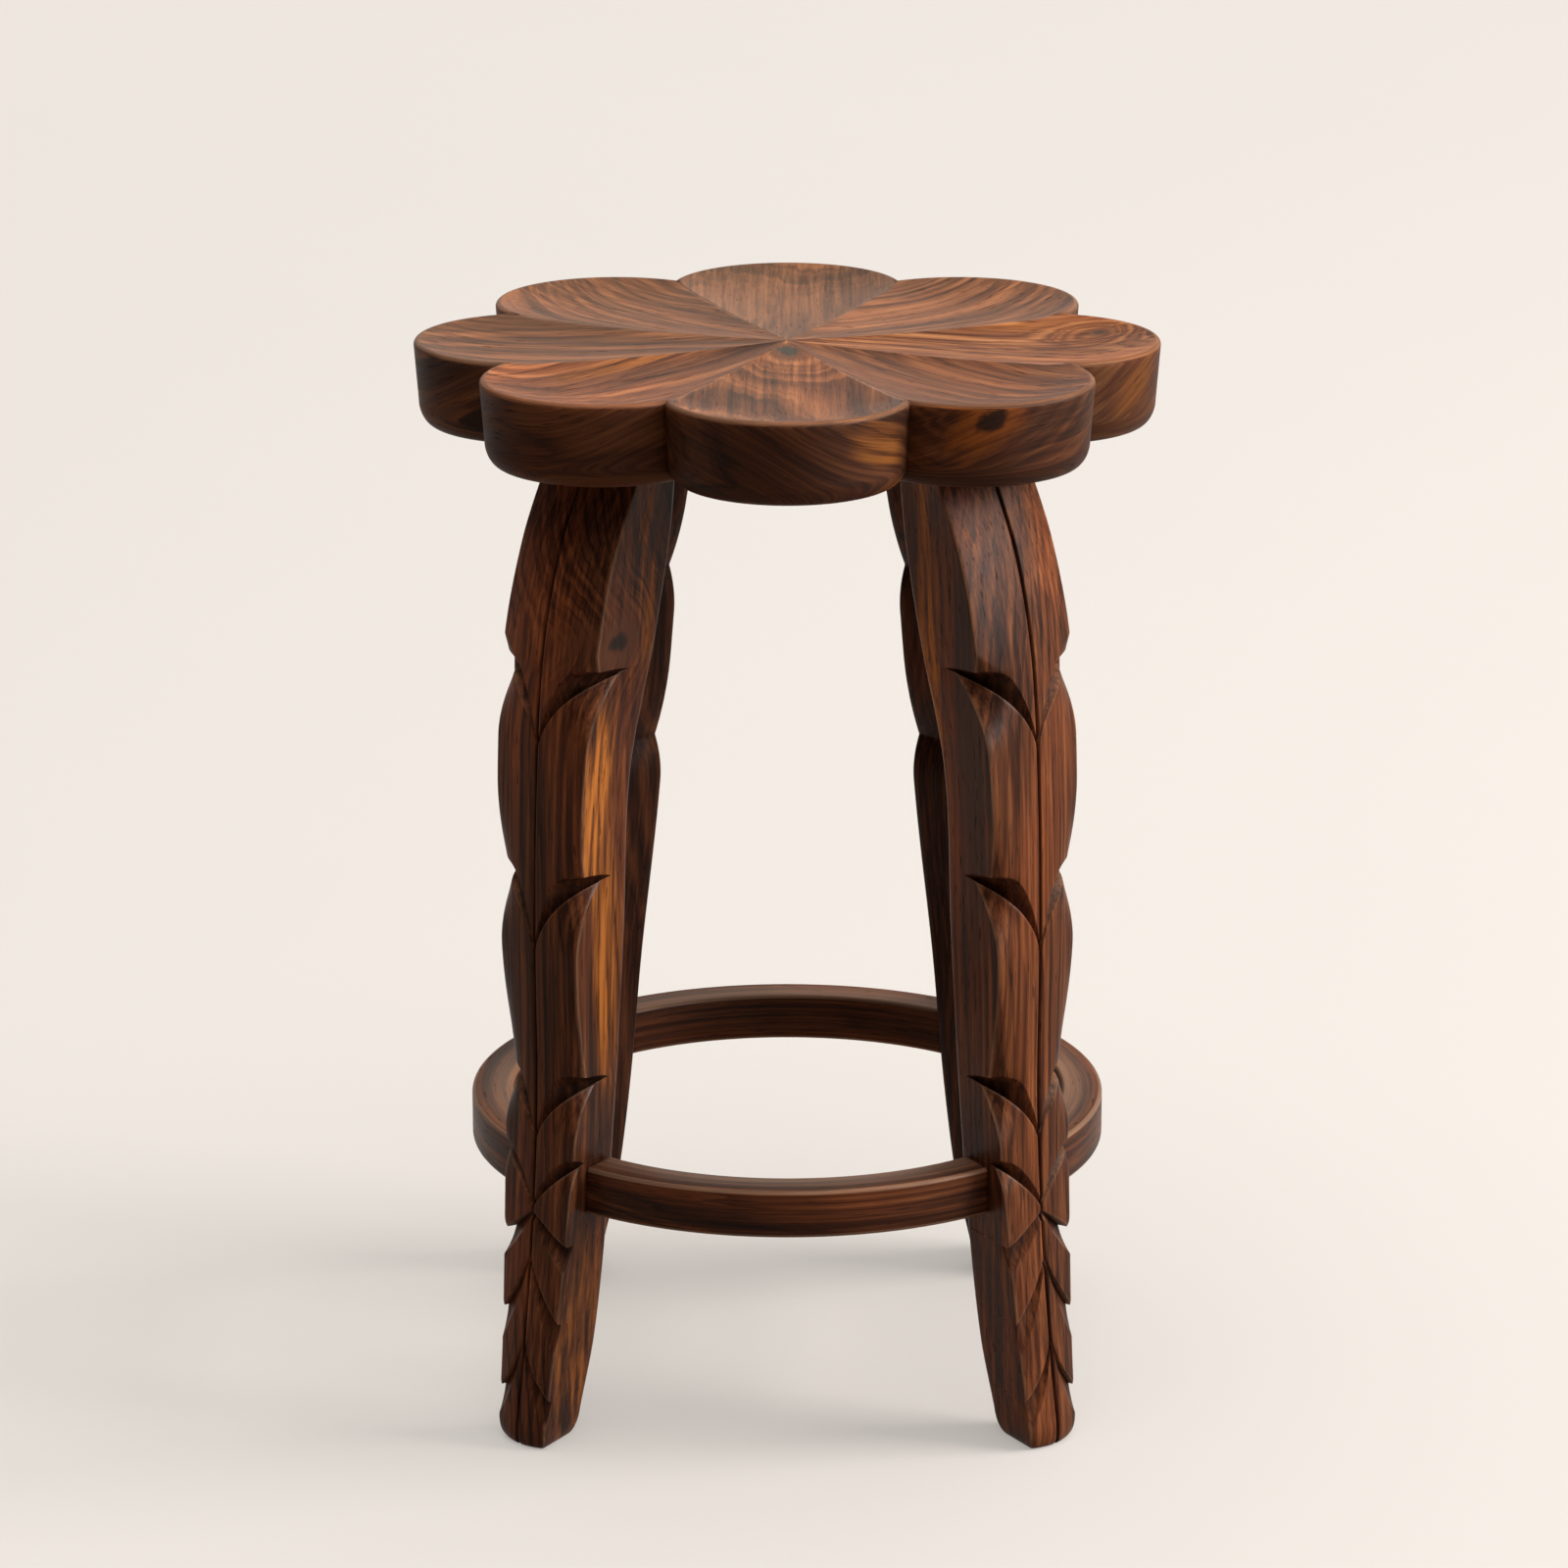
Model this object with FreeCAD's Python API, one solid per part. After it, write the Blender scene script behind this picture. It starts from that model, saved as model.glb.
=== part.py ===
import FreeCAD
import Part
import math
import os
from collections import namedtuple
from FreeCAD import Vector

# Counter stool in dark figured wood: eight scooped petals form the seat, four legs carved with
# overlapping leaflets carry it, and a round footrest of four arcs ties the legs together.
# Millimetres, +Z up, origin on the floor below the middle of the seat, front towards -Y.

# Seat
seat_height = 660.0
seat_radius = 228.5
seat_thickness = 52.0
lobe_radius = 74.0
under_bevel = 7.0
centre_drop = 1.5
scoop_depth = 8.0
scoop_allowance = 2.0

# Loose splines in the glue lines between the petals
spline_inner_radius = 50.0
spline_length = 84.0
spline_width = 24.0
spline_thickness = 8.0
spline_rise = 20.0

# Legs: outward distances are measured from the circle that the leg tops stand on
leg_circle_radius = 143.0
front_inner_share = 0.55
rear_inner_share = 1.0
midrib_width = 3.2
midrib_depth = 3.4
toe_height = 16.0
toe_round = 6.0
leg_tenon_width = 34.0
leg_tenon_depth = 26.0
leg_tenon_height = 26.0

# Footrest
footrest_height = 178.0
footrest_thickness = 30.0
footrest_width = 26.0
footrest_setback = 4.0
footrest_tenon_length = 24.0
footrest_tenon_height = 18.0
footrest_tenon_thickness = 9.0

# Clearances of the glued joints
glue_gap = 0.1
end_gap = 1.0
shoulder_gap = 0.2

# One level of a leg: share of the leg's length above the floor, then outward distances from the leg
# circle of the midrib, the leaf edge and the inner face of front and rear legs, and the leaf's width.
LegLevel = namedtuple("LegLevel", "share midrib edge inner rear_inner width")
leg_levels = (
    LegLevel(0.026, 92.5, 88.0, 48.5, 48.5, 42.0),
    LegLevel(0.100, 86.5, 82.5, 37.5, 37.5, 47.0),
    LegLevel(0.214, 79.0, 76.0, 29.0, 29.0, 55.0),
    LegLevel(0.362, 73.5, 69.5, 22.0, 22.0, 64.0),
    LegLevel(0.526, 73.5, 69.5, 15.0, 8.0, 67.5),
    LegLevel(0.691, 70.5, 67.0, 11.0, 0.0, 76.0),
    LegLevel(0.822, 64.0, 57.5, -8.5, -7.0, 82.0),
    LegLevel(0.921, 49.5, 42.0, -22.0, -20.0, 80.5),
    LegLevel(1.000, 28.0, 20.0, -28.0, -28.0, 80.0),
)
toe_spread = 2.5

# One notch across a rear leg's inner face: share of the leg's length, depth, and how far it runs out
# above and below.
Scallop = namedtuple("Scallop", "share depth above below")
rear_scallops = (
    Scallop(0.794, 7.5, 38.0, 13.0),
    Scallop(0.607, 8.0, 48.0, 14.0),
)

# One carved leaflet boundary: shares of the leg's length at the midrib and at the leaf edge, the
# curve between them, the hollow's depth and length at midrib and edge, and how far and how long
# the leaflet's own tip is rounded back at the edge.
Leaflet = namedtuple("Leaflet", (
    "midrib", "edge", "curve", "mid_depth", "edge_depth", "mid_length", "edge_length",
    "tip_drop", "tip_length",
))
leaflets = (
    Leaflet(0.714, 0.803, 0.5, 3.0, 11.0, 9.0, 24.0, 7.0, 36.0),
    Leaflet(0.505, 0.592, 0.5, 3.0, 10.0, 9.0, 24.0, 7.0, 34.0),
    Leaflet(0.308, 0.380, 0.5, 2.5, 9.0, 8.0, 20.0, 6.0, 24.0),
    Leaflet(0.247, 0.299, 0.7, 2.5, 5.0, 6.0, 12.0, 2.5, 14.0),
    Leaflet(0.247, 0.216, 1.0, 2.5, 7.0, 6.0, 18.0, 3.0, 8.0),
    Leaflet(0.207, 0.135, 1.0, 1.5, 4.0, 5.0, 20.0, 0.6, 3.0),
    Leaflet(0.132, 0.053, 0.6, 1.5, 3.5, 5.0, 18.0, 0.6, 3.0),
)
arched_slices = (0.0, 0.2, 0.6, 1.16)
straighter_slices = (0.0, 0.4, 1.16)
arched_curve = 0.5
leaflet_rim_drop = 0.3
leaflet_rim_length = 2.0
leaflet_rim_lean = 0.5
cutter_overrun = 9.0

# Worked out from the sizes above
seat_bottom = seat_height - seat_thickness
leg_length = seat_bottom
lobe_centre = seat_radius - lobe_radius
stock_top = seat_height + scoop_allowance
footrest_bottom = footrest_height - footrest_thickness
footrest_middle = footrest_height - footrest_thickness / 2

# Names in order round the axis, anticlockwise from +X for the petals and from the first leg for the rest
petal_names = ("right", "back_right", "back", "back_left", "left", "front_left", "front", "front_right")
leg_names = ("back_right", "back_left", "front_left", "front_right")
rear_leg_names = ("back_right", "back_left")
footrest_names = ("back", "left", "front", "right")
petal_step = 360.0 / len(petal_names)
petal_half_angle = math.radians(petal_step / 2)
leg_step = 360.0 / len(leg_names)
leg_angles = [petal_step + index * leg_step for index in range(len(leg_names))]


def turned(shape, degrees):
    """A copy of a shape, turned about the stool's upright axis."""
    copy = shape.copy()
    copy.rotate(Vector(0, 0, 0), Vector(0, 0, 1), degrees)
    return copy


def line(start, end):
    """A straight edge."""
    return Part.LineSegment(start, end).toShape()


def arc(start, middle, end):
    """A circular arc through three points."""
    return Part.Arc(start, middle, end).toShape()


def closed(points):
    """A closed outline with straight sides."""
    return Part.makePolygon(list(points) + [points[0]])


def upright(points, bottom, height):
    """A prism over a plan outline given as x and y pairs."""
    wire = closed([Vector(x, y, bottom) for x, y in points])
    return Part.Face(wire).extrude(Vector(0, 0, height))


def mirrored(shape):
    """A copy of a shape on the other side of the plane through the axis and +X."""
    return shape.mirror(Vector(0, 0, 0), Vector(0, 1, 0))


def block(size, base):
    """An upright block, centred in plan on its base point."""
    return Part.makeBox(size.x, size.y, size.z, base - Vector(size.x / 2, size.y / 2, 0))


def blend(before, start, end, after, part):
    """Smooth value between start and end, led by the values on both sides."""
    lead = (end - before) / 2
    tail = (after - start) / 2
    square = part * part
    cube = square * part
    return ((2 * cube - 3 * square + 1) * start + (cube - 2 * square + part) * lead
            + (3 * square - 2 * cube) * end + (cube - square) * tail)


def leg_level_at(height):
    """The leg's envelope at a height above the floor."""
    share = height / leg_length
    last = len(leg_levels) - 1
    index = 0
    while index < last - 1 and share > leg_levels[index + 1].share:
        index += 1
    start = leg_levels[index]
    end = leg_levels[index + 1]
    before = leg_levels[max(index - 1, 0)]
    after = leg_levels[min(index + 2, last)]
    part = (share - start.share) / (end.share - start.share)
    values = [blend(b, s, e, a, part) for b, s, e, a in zip(before, start, end, after)]
    return LegLevel(*values)


# Seat petals

def lobe_disc():
    """The round outer end of a petal: an upright side with a bevel below."""
    def at(radius, height):
        return Vector(-radius, 0, height)

    profile = closed([
        at(0, seat_bottom),
        at(lobe_radius - under_bevel, seat_bottom),
        at(lobe_radius, seat_bottom + under_bevel),
        at(lobe_radius, stock_top),
        at(0, stock_top),
    ])
    disc = Part.Face(profile).revolve(Vector(0, 0, 0), Vector(0, 0, 1), 360)
    disc.translate(Vector(lobe_centre, 0, 0))
    return disc


def wedge(length):
    """A petal's share of the circle, a prism from the seat's middle out to a length."""
    x = length * math.cos(petal_half_angle)
    y = length * math.sin(petal_half_angle)
    return upright([(0, 0), (x, -y), (x, y)], seat_bottom, stock_top - seat_bottom)


def scoop():
    """The hollow of a petal: a ball-nosed cut that runs down from the seat's middle and ends in the lobe.

    The ball meets the lobe's side all round at the seat's height, and the straight run touches it.
    """
    ball_radius = (lobe_radius ** 2 + scoop_depth ** 2) / (2 * scoop_depth)
    ball_centre = Vector(lobe_centre, 0, seat_height - scoop_depth + ball_radius)
    middle = Vector(0, 0, seat_height - centre_drop)
    to_ball = ball_centre - middle
    slope = math.atan2(to_ball.z, to_ball.x) - math.asin(ball_radius / to_ball.Length)
    outward = Vector(math.cos(slope), 0, math.sin(slope))
    upward = Vector(-outward.z, 0, outward.x)
    back = ball_centre - outward * (2 * lobe_centre)
    side = ball_centre + upward * ball_radius
    bend = ball_centre + (upward + outward).normalize() * ball_radius
    nose = ball_centre + outward * ball_radius
    profile = Part.Wire([
        line(back, back + upward * ball_radius),
        line(back + upward * ball_radius, side),
        arc(side, bend, nose),
        line(nose, back),
    ])
    return Part.Face(profile).revolve(ball_centre, outward, 360)


def seat_spline(gap):
    """The loose spline of one glue line, lying along +X, grown by a gap on every side."""
    length = spline_length + 2 * gap
    width = spline_width + 2 * gap
    thickness = spline_thickness + 2 * gap
    corner = Vector(spline_inner_radius - gap, -width / 2, seat_bottom + spline_rise - thickness / 2)
    return Part.makeBox(length, width, thickness, corner)


def make_petal():
    """One petal along +X with its scoop and its spline slots."""
    waist = lobe_centre * math.cos(petal_half_angle)
    petal = wedge(waist).fuse(lobe_disc()).removeSplitter()
    petal = petal.common(wedge(2 * seat_radius))
    petal = petal.cut(scoop())
    slot = seat_spline(glue_gap)
    half_step = petal_step / 2
    return petal.cut(turned(slot, half_step)).cut(turned(slot, -half_step))


# Legs

def leg_section(level, height, rear, drop=0.0):
    """A leg's section: two sloping half faces, plain sides and an inner face; drop is the toe's rounding."""
    inset = toe_round * (1 - math.sqrt(1 - drop * drop))
    base = leg_circle_radius + toe_spread * drop
    half = level.width / 2 - inset
    inner_half = half * (rear_inner_share if rear else front_inner_share)
    inner = base + (level.rear_inner if rear else level.inner) + inset
    edge = base + level.edge - inset
    midrib = base + level.midrib - inset
    outline = [(inner, -inner_half), (inner, inner_half), (edge, half), (midrib, 0), (edge, -half)]
    return closed([Vector(x, y, height) for x, y in outline])


def leg_blank(rear):
    """A leg before carving: a long S-curve with a toe that is rounded off at the floor."""
    first = leg_levels[0]
    sections = [leg_section(first, toe_height, rear)]
    sections += [leg_section(level, level.share * leg_length, rear) for level in leg_levels[1:]]
    shaft = Part.makeLoft(sections, True, False)
    drops = [math.sin(math.radians(turn)) for turn in (0, 45, 90)]
    toe_sections = [leg_section(first, toe_height * (1 - drop), rear, drop) for drop in drops]
    toe = Part.makeLoft(toe_sections, True, True)
    return shaft.fuse(toe).removeSplitter()


def scallop_cut(scallop):
    """The notch cut of one scallop, straight across a rear leg's inner face."""
    height = scallop.share * leg_length
    half_run = leg_level_at(height).width / 2 + cutter_overrun

    def point(offset, sink):
        level = height + offset
        return Vector(leg_circle_radius + leg_level_at(level).rear_inner + sink, -half_run, level)

    outline = closed([
        point(0, scallop.depth),
        point(-scallop.below, 0),
        point(-scallop.below, -cutter_overrun),
        point(scallop.above, -cutter_overrun),
        point(scallop.above, 0),
    ])
    return Part.Face(outline).extrude(Vector(0, 2 * half_run, 0))


def midrib_groove():
    """The V groove that runs down the middle of the leaves."""
    heights = [level.share * leg_length for level in leg_levels]
    heights[0] = -toe_height
    heights[-1] = leg_length + toe_height
    sections = []
    for height in heights:
        level = leg_level_at(min(max(height, 0), leg_length))
        rib = leg_circle_radius + level.midrib
        widen = midrib_width / 2 * (midrib_depth + cutter_overrun) / midrib_depth
        sections.append(closed([
            Vector(rib - midrib_depth, 0, height),
            Vector(rib + cutter_overrun, widen, height),
            Vector(rib + cutter_overrun, -widen, height),
        ]))
    return Part.makeLoft(sections, True, False)


def leaf_reach(height, share_across):
    """Outward distance of the uncarved leaf face at a height and a share of its half width."""
    level = leg_level_at(height)
    return leg_circle_radius + level.midrib - (level.midrib - level.edge) * share_across


def leaflet_section(leaflet, share_across):
    """The gouge cut of one leaflet boundary, sliced upright at a share of the half width."""
    inside = min(share_across, 1.0)
    rise = leaflet.midrib + (leaflet.edge - leaflet.midrib) * share_across ** leaflet.curve
    height = rise * leg_length
    facing = math.copysign(1.0, leaflet.edge - leaflet.midrib)
    depth = leaflet.mid_depth + (leaflet.edge_depth - leaflet.mid_depth) * inside
    length = leaflet.mid_length + (leaflet.edge_length - leaflet.mid_length) * inside
    tip_drop = leaflet_rim_drop + leaflet.tip_drop * inside ** 2
    tip_length = leaflet_rim_length + leaflet.tip_length * inside ** 2
    across = share_across * leg_level_at(height).width / 2

    def point(offset, sink):
        level = height + facing * offset
        return Vector(leaf_reach(level, share_across) - sink, across, level)

    return closed([
        point(0, depth),
        point(-leaflet_rim_lean, tip_drop),
        point(-tip_length, 0),
        point(-tip_length, -cutter_overrun),
        point(length, -cutter_overrun),
        point(length, 0),
    ])


def leaflet_cut(leaflet):
    """The gouge cut of one leaflet boundary on the leg's right half, from the midrib past the edge."""
    slices = straighter_slices if leaflet.curve > arched_curve else arched_slices
    sections = [leaflet_section(leaflet, share) for share in slices]
    return Part.makeLoft(sections, True, True)


def leg_tenon(gap, top_gap):
    """The stub tenon on a leg's top, grown by a gap at its sides and another at its end."""
    size = Vector(leg_tenon_depth + 2 * gap, leg_tenon_width + 2 * gap, leg_tenon_height + top_gap)
    return block(size, Vector(leg_circle_radius, 0, seat_bottom))


def make_leg(blank, scallops):
    """One carved leg whose leaves face +X, with its stub tenon and its footrest mortises."""
    leg = blank.cut(midrib_groove())
    for leaflet in leaflets:
        cut = leaflet_cut(leaflet)
        leg = leg.cut(cut).cut(mirrored(cut))
    for scallop in scallops:
        leg = leg.cut(scallop_cut(scallop))
    mortise = footrest_tenon(blank, glue_gap, end_gap)
    leg = leg.cut(mortise).cut(mirrored(mortise))
    return leg.fuse(leg_tenon(0, 0))


# Footrest

def footrest_radii():
    """Inner and outer radius of the footrest, whose inside lies just outside the legs' inner faces."""
    inner = leg_circle_radius + leg_level_at(footrest_middle).inner + footrest_setback
    return inner, inner + footrest_width


def footrest_ring():
    """The whole footrest ring before it is cut into arcs."""
    inner, outer = footrest_radii()
    section = closed([
        Vector(-inner, 0, footrest_bottom),
        Vector(-inner, 0, footrest_height),
        Vector(-outer, 0, footrest_height),
        Vector(-outer, 0, footrest_bottom),
    ])
    return Part.Face(section).revolve(Vector(0, 0, 0), Vector(0, 0, 1), 360)


def shoulder_angle(blank):
    """Angle, seen from the stool's axis, at which the ring's middle leaves a leg that faces +X."""
    radius = sum(footrest_radii()) / 2
    half_step = math.radians(leg_step / 2)
    circle = Part.Circle(Vector(0, 0, footrest_middle), Vector(0, 0, 1), radius)
    path = Part.Arc(circle, 0, half_step).toShape()
    free = path.cut(blank).Edges[0]
    ends = [math.atan2(vertex.Y, vertex.X) for vertex in free.Vertexes]
    return min(ends)


def footrest_tenon(blank, gap, length_gap):
    """The loose tenon at the left side of a leg that faces +X, half in the leg and half in the arc."""
    radius = sum(footrest_radii()) / 2
    thickness = footrest_tenon_thickness + 2 * gap
    rise = footrest_tenon_height + 2 * gap
    length = footrest_tenon_length + 2 * length_gap
    tenon = block(Vector(thickness, length, rise), Vector(radius, 0, footrest_middle - rise / 2))
    return turned(tenon, math.degrees(shoulder_angle(blank)))


def make_footrest_arc(first_blank, next_blank):
    """One arc from a leg that faces +X round to the next, scribed to the legs' sides."""
    reach = 2 * sum(footrest_radii())
    quarter = upright([(0, 0), (reach, 0), (reach, reach), (0, reach)], footrest_bottom, footrest_thickness)
    ring = footrest_ring().common(quarter)
    gap_angle = math.degrees(shoulder_gap / footrest_radii()[0])
    ring = ring.cut(turned(first_blank, gap_angle)).cut(turned(next_blank, leg_step - gap_angle))
    near = footrest_tenon(first_blank, glue_gap, end_gap)
    far = turned(mirrored(footrest_tenon(next_blank, glue_gap, end_gap)), leg_step)
    return ring.cut(near).cut(far)


# Assembly

def build():
    """Every piece of the stool by its name."""
    pieces = {}
    petal = make_petal()
    mortised = petal.cut(leg_tenon(glue_gap, end_gap))
    for index, name in enumerate(petal_names):
        angle = index * petal_step
        pieces["petal_" + name] = turned(mortised if name in leg_names else petal, angle)
        pieces["seat_spline_" + str(index + 1)] = turned(seat_spline(0), angle + petal_step / 2)
    front_blank = leg_blank(rear=False)
    rear_blank = leg_blank(rear=True)
    front_leg = make_leg(front_blank, ())
    rear_leg = make_leg(rear_blank, rear_scallops)
    blanks = [rear_blank if name in rear_leg_names else front_blank for name in leg_names]
    for index, (name, angle) in enumerate(zip(leg_names, leg_angles)):
        pieces["leg_" + name] = turned(rear_leg if name in rear_leg_names else front_leg, angle)
        footrest_arc = make_footrest_arc(blanks[index], blanks[(index + 1) % len(blanks)])
        pieces["footrest_" + footrest_names[index]] = turned(footrest_arc, angle)
        tenon = footrest_tenon(blanks[index], 0, 0)
        for side, loose_tenon in enumerate((tenon, mirrored(tenon))):
            pieces["footrest_tenon_" + str(2 * index + side + 1)] = turned(loose_tenon, angle)
    return pieces


os.makedirs("parts", exist_ok=True)
for piece_name, piece in build().items():
    solids = piece.Solids
    print(piece_name, "solids", len(solids), "valid", piece.isValid(), "volume", round(piece.Volume))
    solids[0].exportStep("parts/" + piece_name + ".step")
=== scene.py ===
"""Looks of a counter stool in dark figured wood.

Eight scooped petals form the seat, four legs carved with overlapping leaflets carry it, and a round
footrest of four arcs ties the legs together. Meshes are shaped in millimetres and scaled to metres.
"""

import logging
import math
from dataclasses import dataclass, field
from enum import Enum

import bmesh
import bpy
from mathutils import Euler, Matrix, Vector

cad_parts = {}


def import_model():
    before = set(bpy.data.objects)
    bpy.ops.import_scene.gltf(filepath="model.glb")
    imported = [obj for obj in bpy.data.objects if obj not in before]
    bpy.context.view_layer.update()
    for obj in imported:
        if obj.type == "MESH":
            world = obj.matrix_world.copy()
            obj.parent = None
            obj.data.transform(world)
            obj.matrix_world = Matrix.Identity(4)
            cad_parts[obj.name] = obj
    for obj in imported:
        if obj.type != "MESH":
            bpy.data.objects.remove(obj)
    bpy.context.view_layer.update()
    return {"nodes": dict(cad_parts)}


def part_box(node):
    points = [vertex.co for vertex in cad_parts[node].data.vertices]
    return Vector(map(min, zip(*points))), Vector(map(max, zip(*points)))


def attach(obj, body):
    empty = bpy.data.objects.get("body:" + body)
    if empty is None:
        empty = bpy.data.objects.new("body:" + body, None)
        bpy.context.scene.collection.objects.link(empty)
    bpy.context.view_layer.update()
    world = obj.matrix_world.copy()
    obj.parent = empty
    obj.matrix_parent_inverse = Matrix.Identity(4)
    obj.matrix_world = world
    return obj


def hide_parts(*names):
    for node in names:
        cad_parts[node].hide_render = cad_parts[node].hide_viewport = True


LOG = logging.getLogger("stool")
MM = 0.001
BODY = "root"

# What a point of a piece holds: its place in the board, its painted shade and stain, its painted highlight
# and wear, and how far on the flank it is.
GRAIN = "grain"
SHADE_AND_STAIN = "hollow"
HIGHLIGHT_AND_WEAR = "wear"
FLANK = "flank"

Socket = bpy.types.NodeSocket
Triple = tuple[float, float, float]
Stops = tuple[tuple[float, Triple], ...]


class Slot(Enum):
    """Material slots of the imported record."""

    SEAT = "seat_wood"
    LEG = "leg_wood"
    FOOTREST = "footrest_wood"


def clamp(value: float, low: float = 0.0, high: float = 1.0) -> float:
    """Value held between two limits."""
    return max(low, min(high, value))


def lerp(start: float, end: float, share: float) -> float:
    """Value part of the way from start to end."""
    return start + (end - start) * share


def ease(share: float) -> float:
    """Share of a stretch, with points drawn together at both its ends."""
    return 0.5 - 0.5 * math.cos(math.pi * share)


def soft_step(low: float, high: float, value: float) -> float:
    """Smooth rise from 0 at low to 1 at high."""
    share = clamp((value - low) / (high - low))
    return share * share * (3 - 2 * share)


def open_edges(bm: bmesh.types.BMesh) -> list[bmesh.types.BMEdge]:
    """Edges that have one face only."""
    return [edge for edge in bm.edges if edge.is_boundary]


def close_mesh(bm: bmesh.types.BMesh) -> None:
    """Fills what is open and turns all faces outwards."""
    bmesh.ops.holes_fill(bm, edges=open_edges(bm), sides=0)
    bmesh.ops.recalc_face_normals(bm, faces=bm.faces)


class Sheet:
    """A grid of faces whose points are moved one by one into a surface."""

    def __init__(self, columns: int, rows: int) -> None:
        """Starts the sheet.

        Args:
            columns: Faces across the sheet.
            rows: Faces along the sheet.
        """
        self.rows = rows
        self.bm = bmesh.new()
        bmesh.ops.create_grid(self.bm, x_segments=columns, y_segments=rows, size=0.5)
        self.grain = self.bm.verts.layers.float_vector.new(GRAIN)
        # Layers for painted shade with stain (named hollow) and for painted highlight with wear.
        self.hollow = self.bm.verts.layers.float.new(SHADE_AND_STAIN)
        self.wear = self.bm.verts.layers.float.new(HIGHLIGHT_AND_WEAR)
        self.flank = self.bm.verts.layers.float.new(FLANK)
        self.places = {vert: (vert.co.x + 0.5, vert.co.y + 0.5) for vert in self.bm.verts}

    def merge(self, distance: float) -> None:
        """Makes points one that lie closer than a distance in millimetres."""
        bmesh.ops.remove_doubles(self.bm, verts=self.bm.verts, dist=distance)


def place_piece(bm: bmesh.types.BMesh, name: str, node: str, turn: float,
                material: bpy.types.Material) -> bpy.types.Object:
    """Makes a shape an object that stands for a solid of the frame and rides on its body.

    Args:
        bm: Shape in millimetres; it is freed.
        name: Name of the new piece.
        node: The solid it stands for.
        turn: Angle about the upright axis, in radians.
        material: Its finish.

    Returns:
        The new object, at the origin, unturned and unscaled.
    """
    bmesh.ops.rotate(bm, cent=(0, 0, 0), matrix=Matrix.Rotation(turn, 3, "Z"), verts=bm.verts)
    bmesh.ops.scale(bm, vec=(MM, MM, MM), verts=bm.verts)
    mesh = bpy.data.meshes.new(name)
    bm.to_mesh(mesh)
    bm.free()
    mesh.shade_smooth()
    mesh.materials.append(material)
    piece = bpy.data.objects.new(name, mesh)
    bpy.context.scene.collection.objects.link(piece)
    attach(piece, BODY)
    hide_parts(node)
    return piece


@dataclass(frozen=True)
class Noise:
    """A noise: its turns per metre in three directions, its levels of detail and how rough they are."""

    turns: Triple
    detail: float
    rough: float = 0.55


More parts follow.
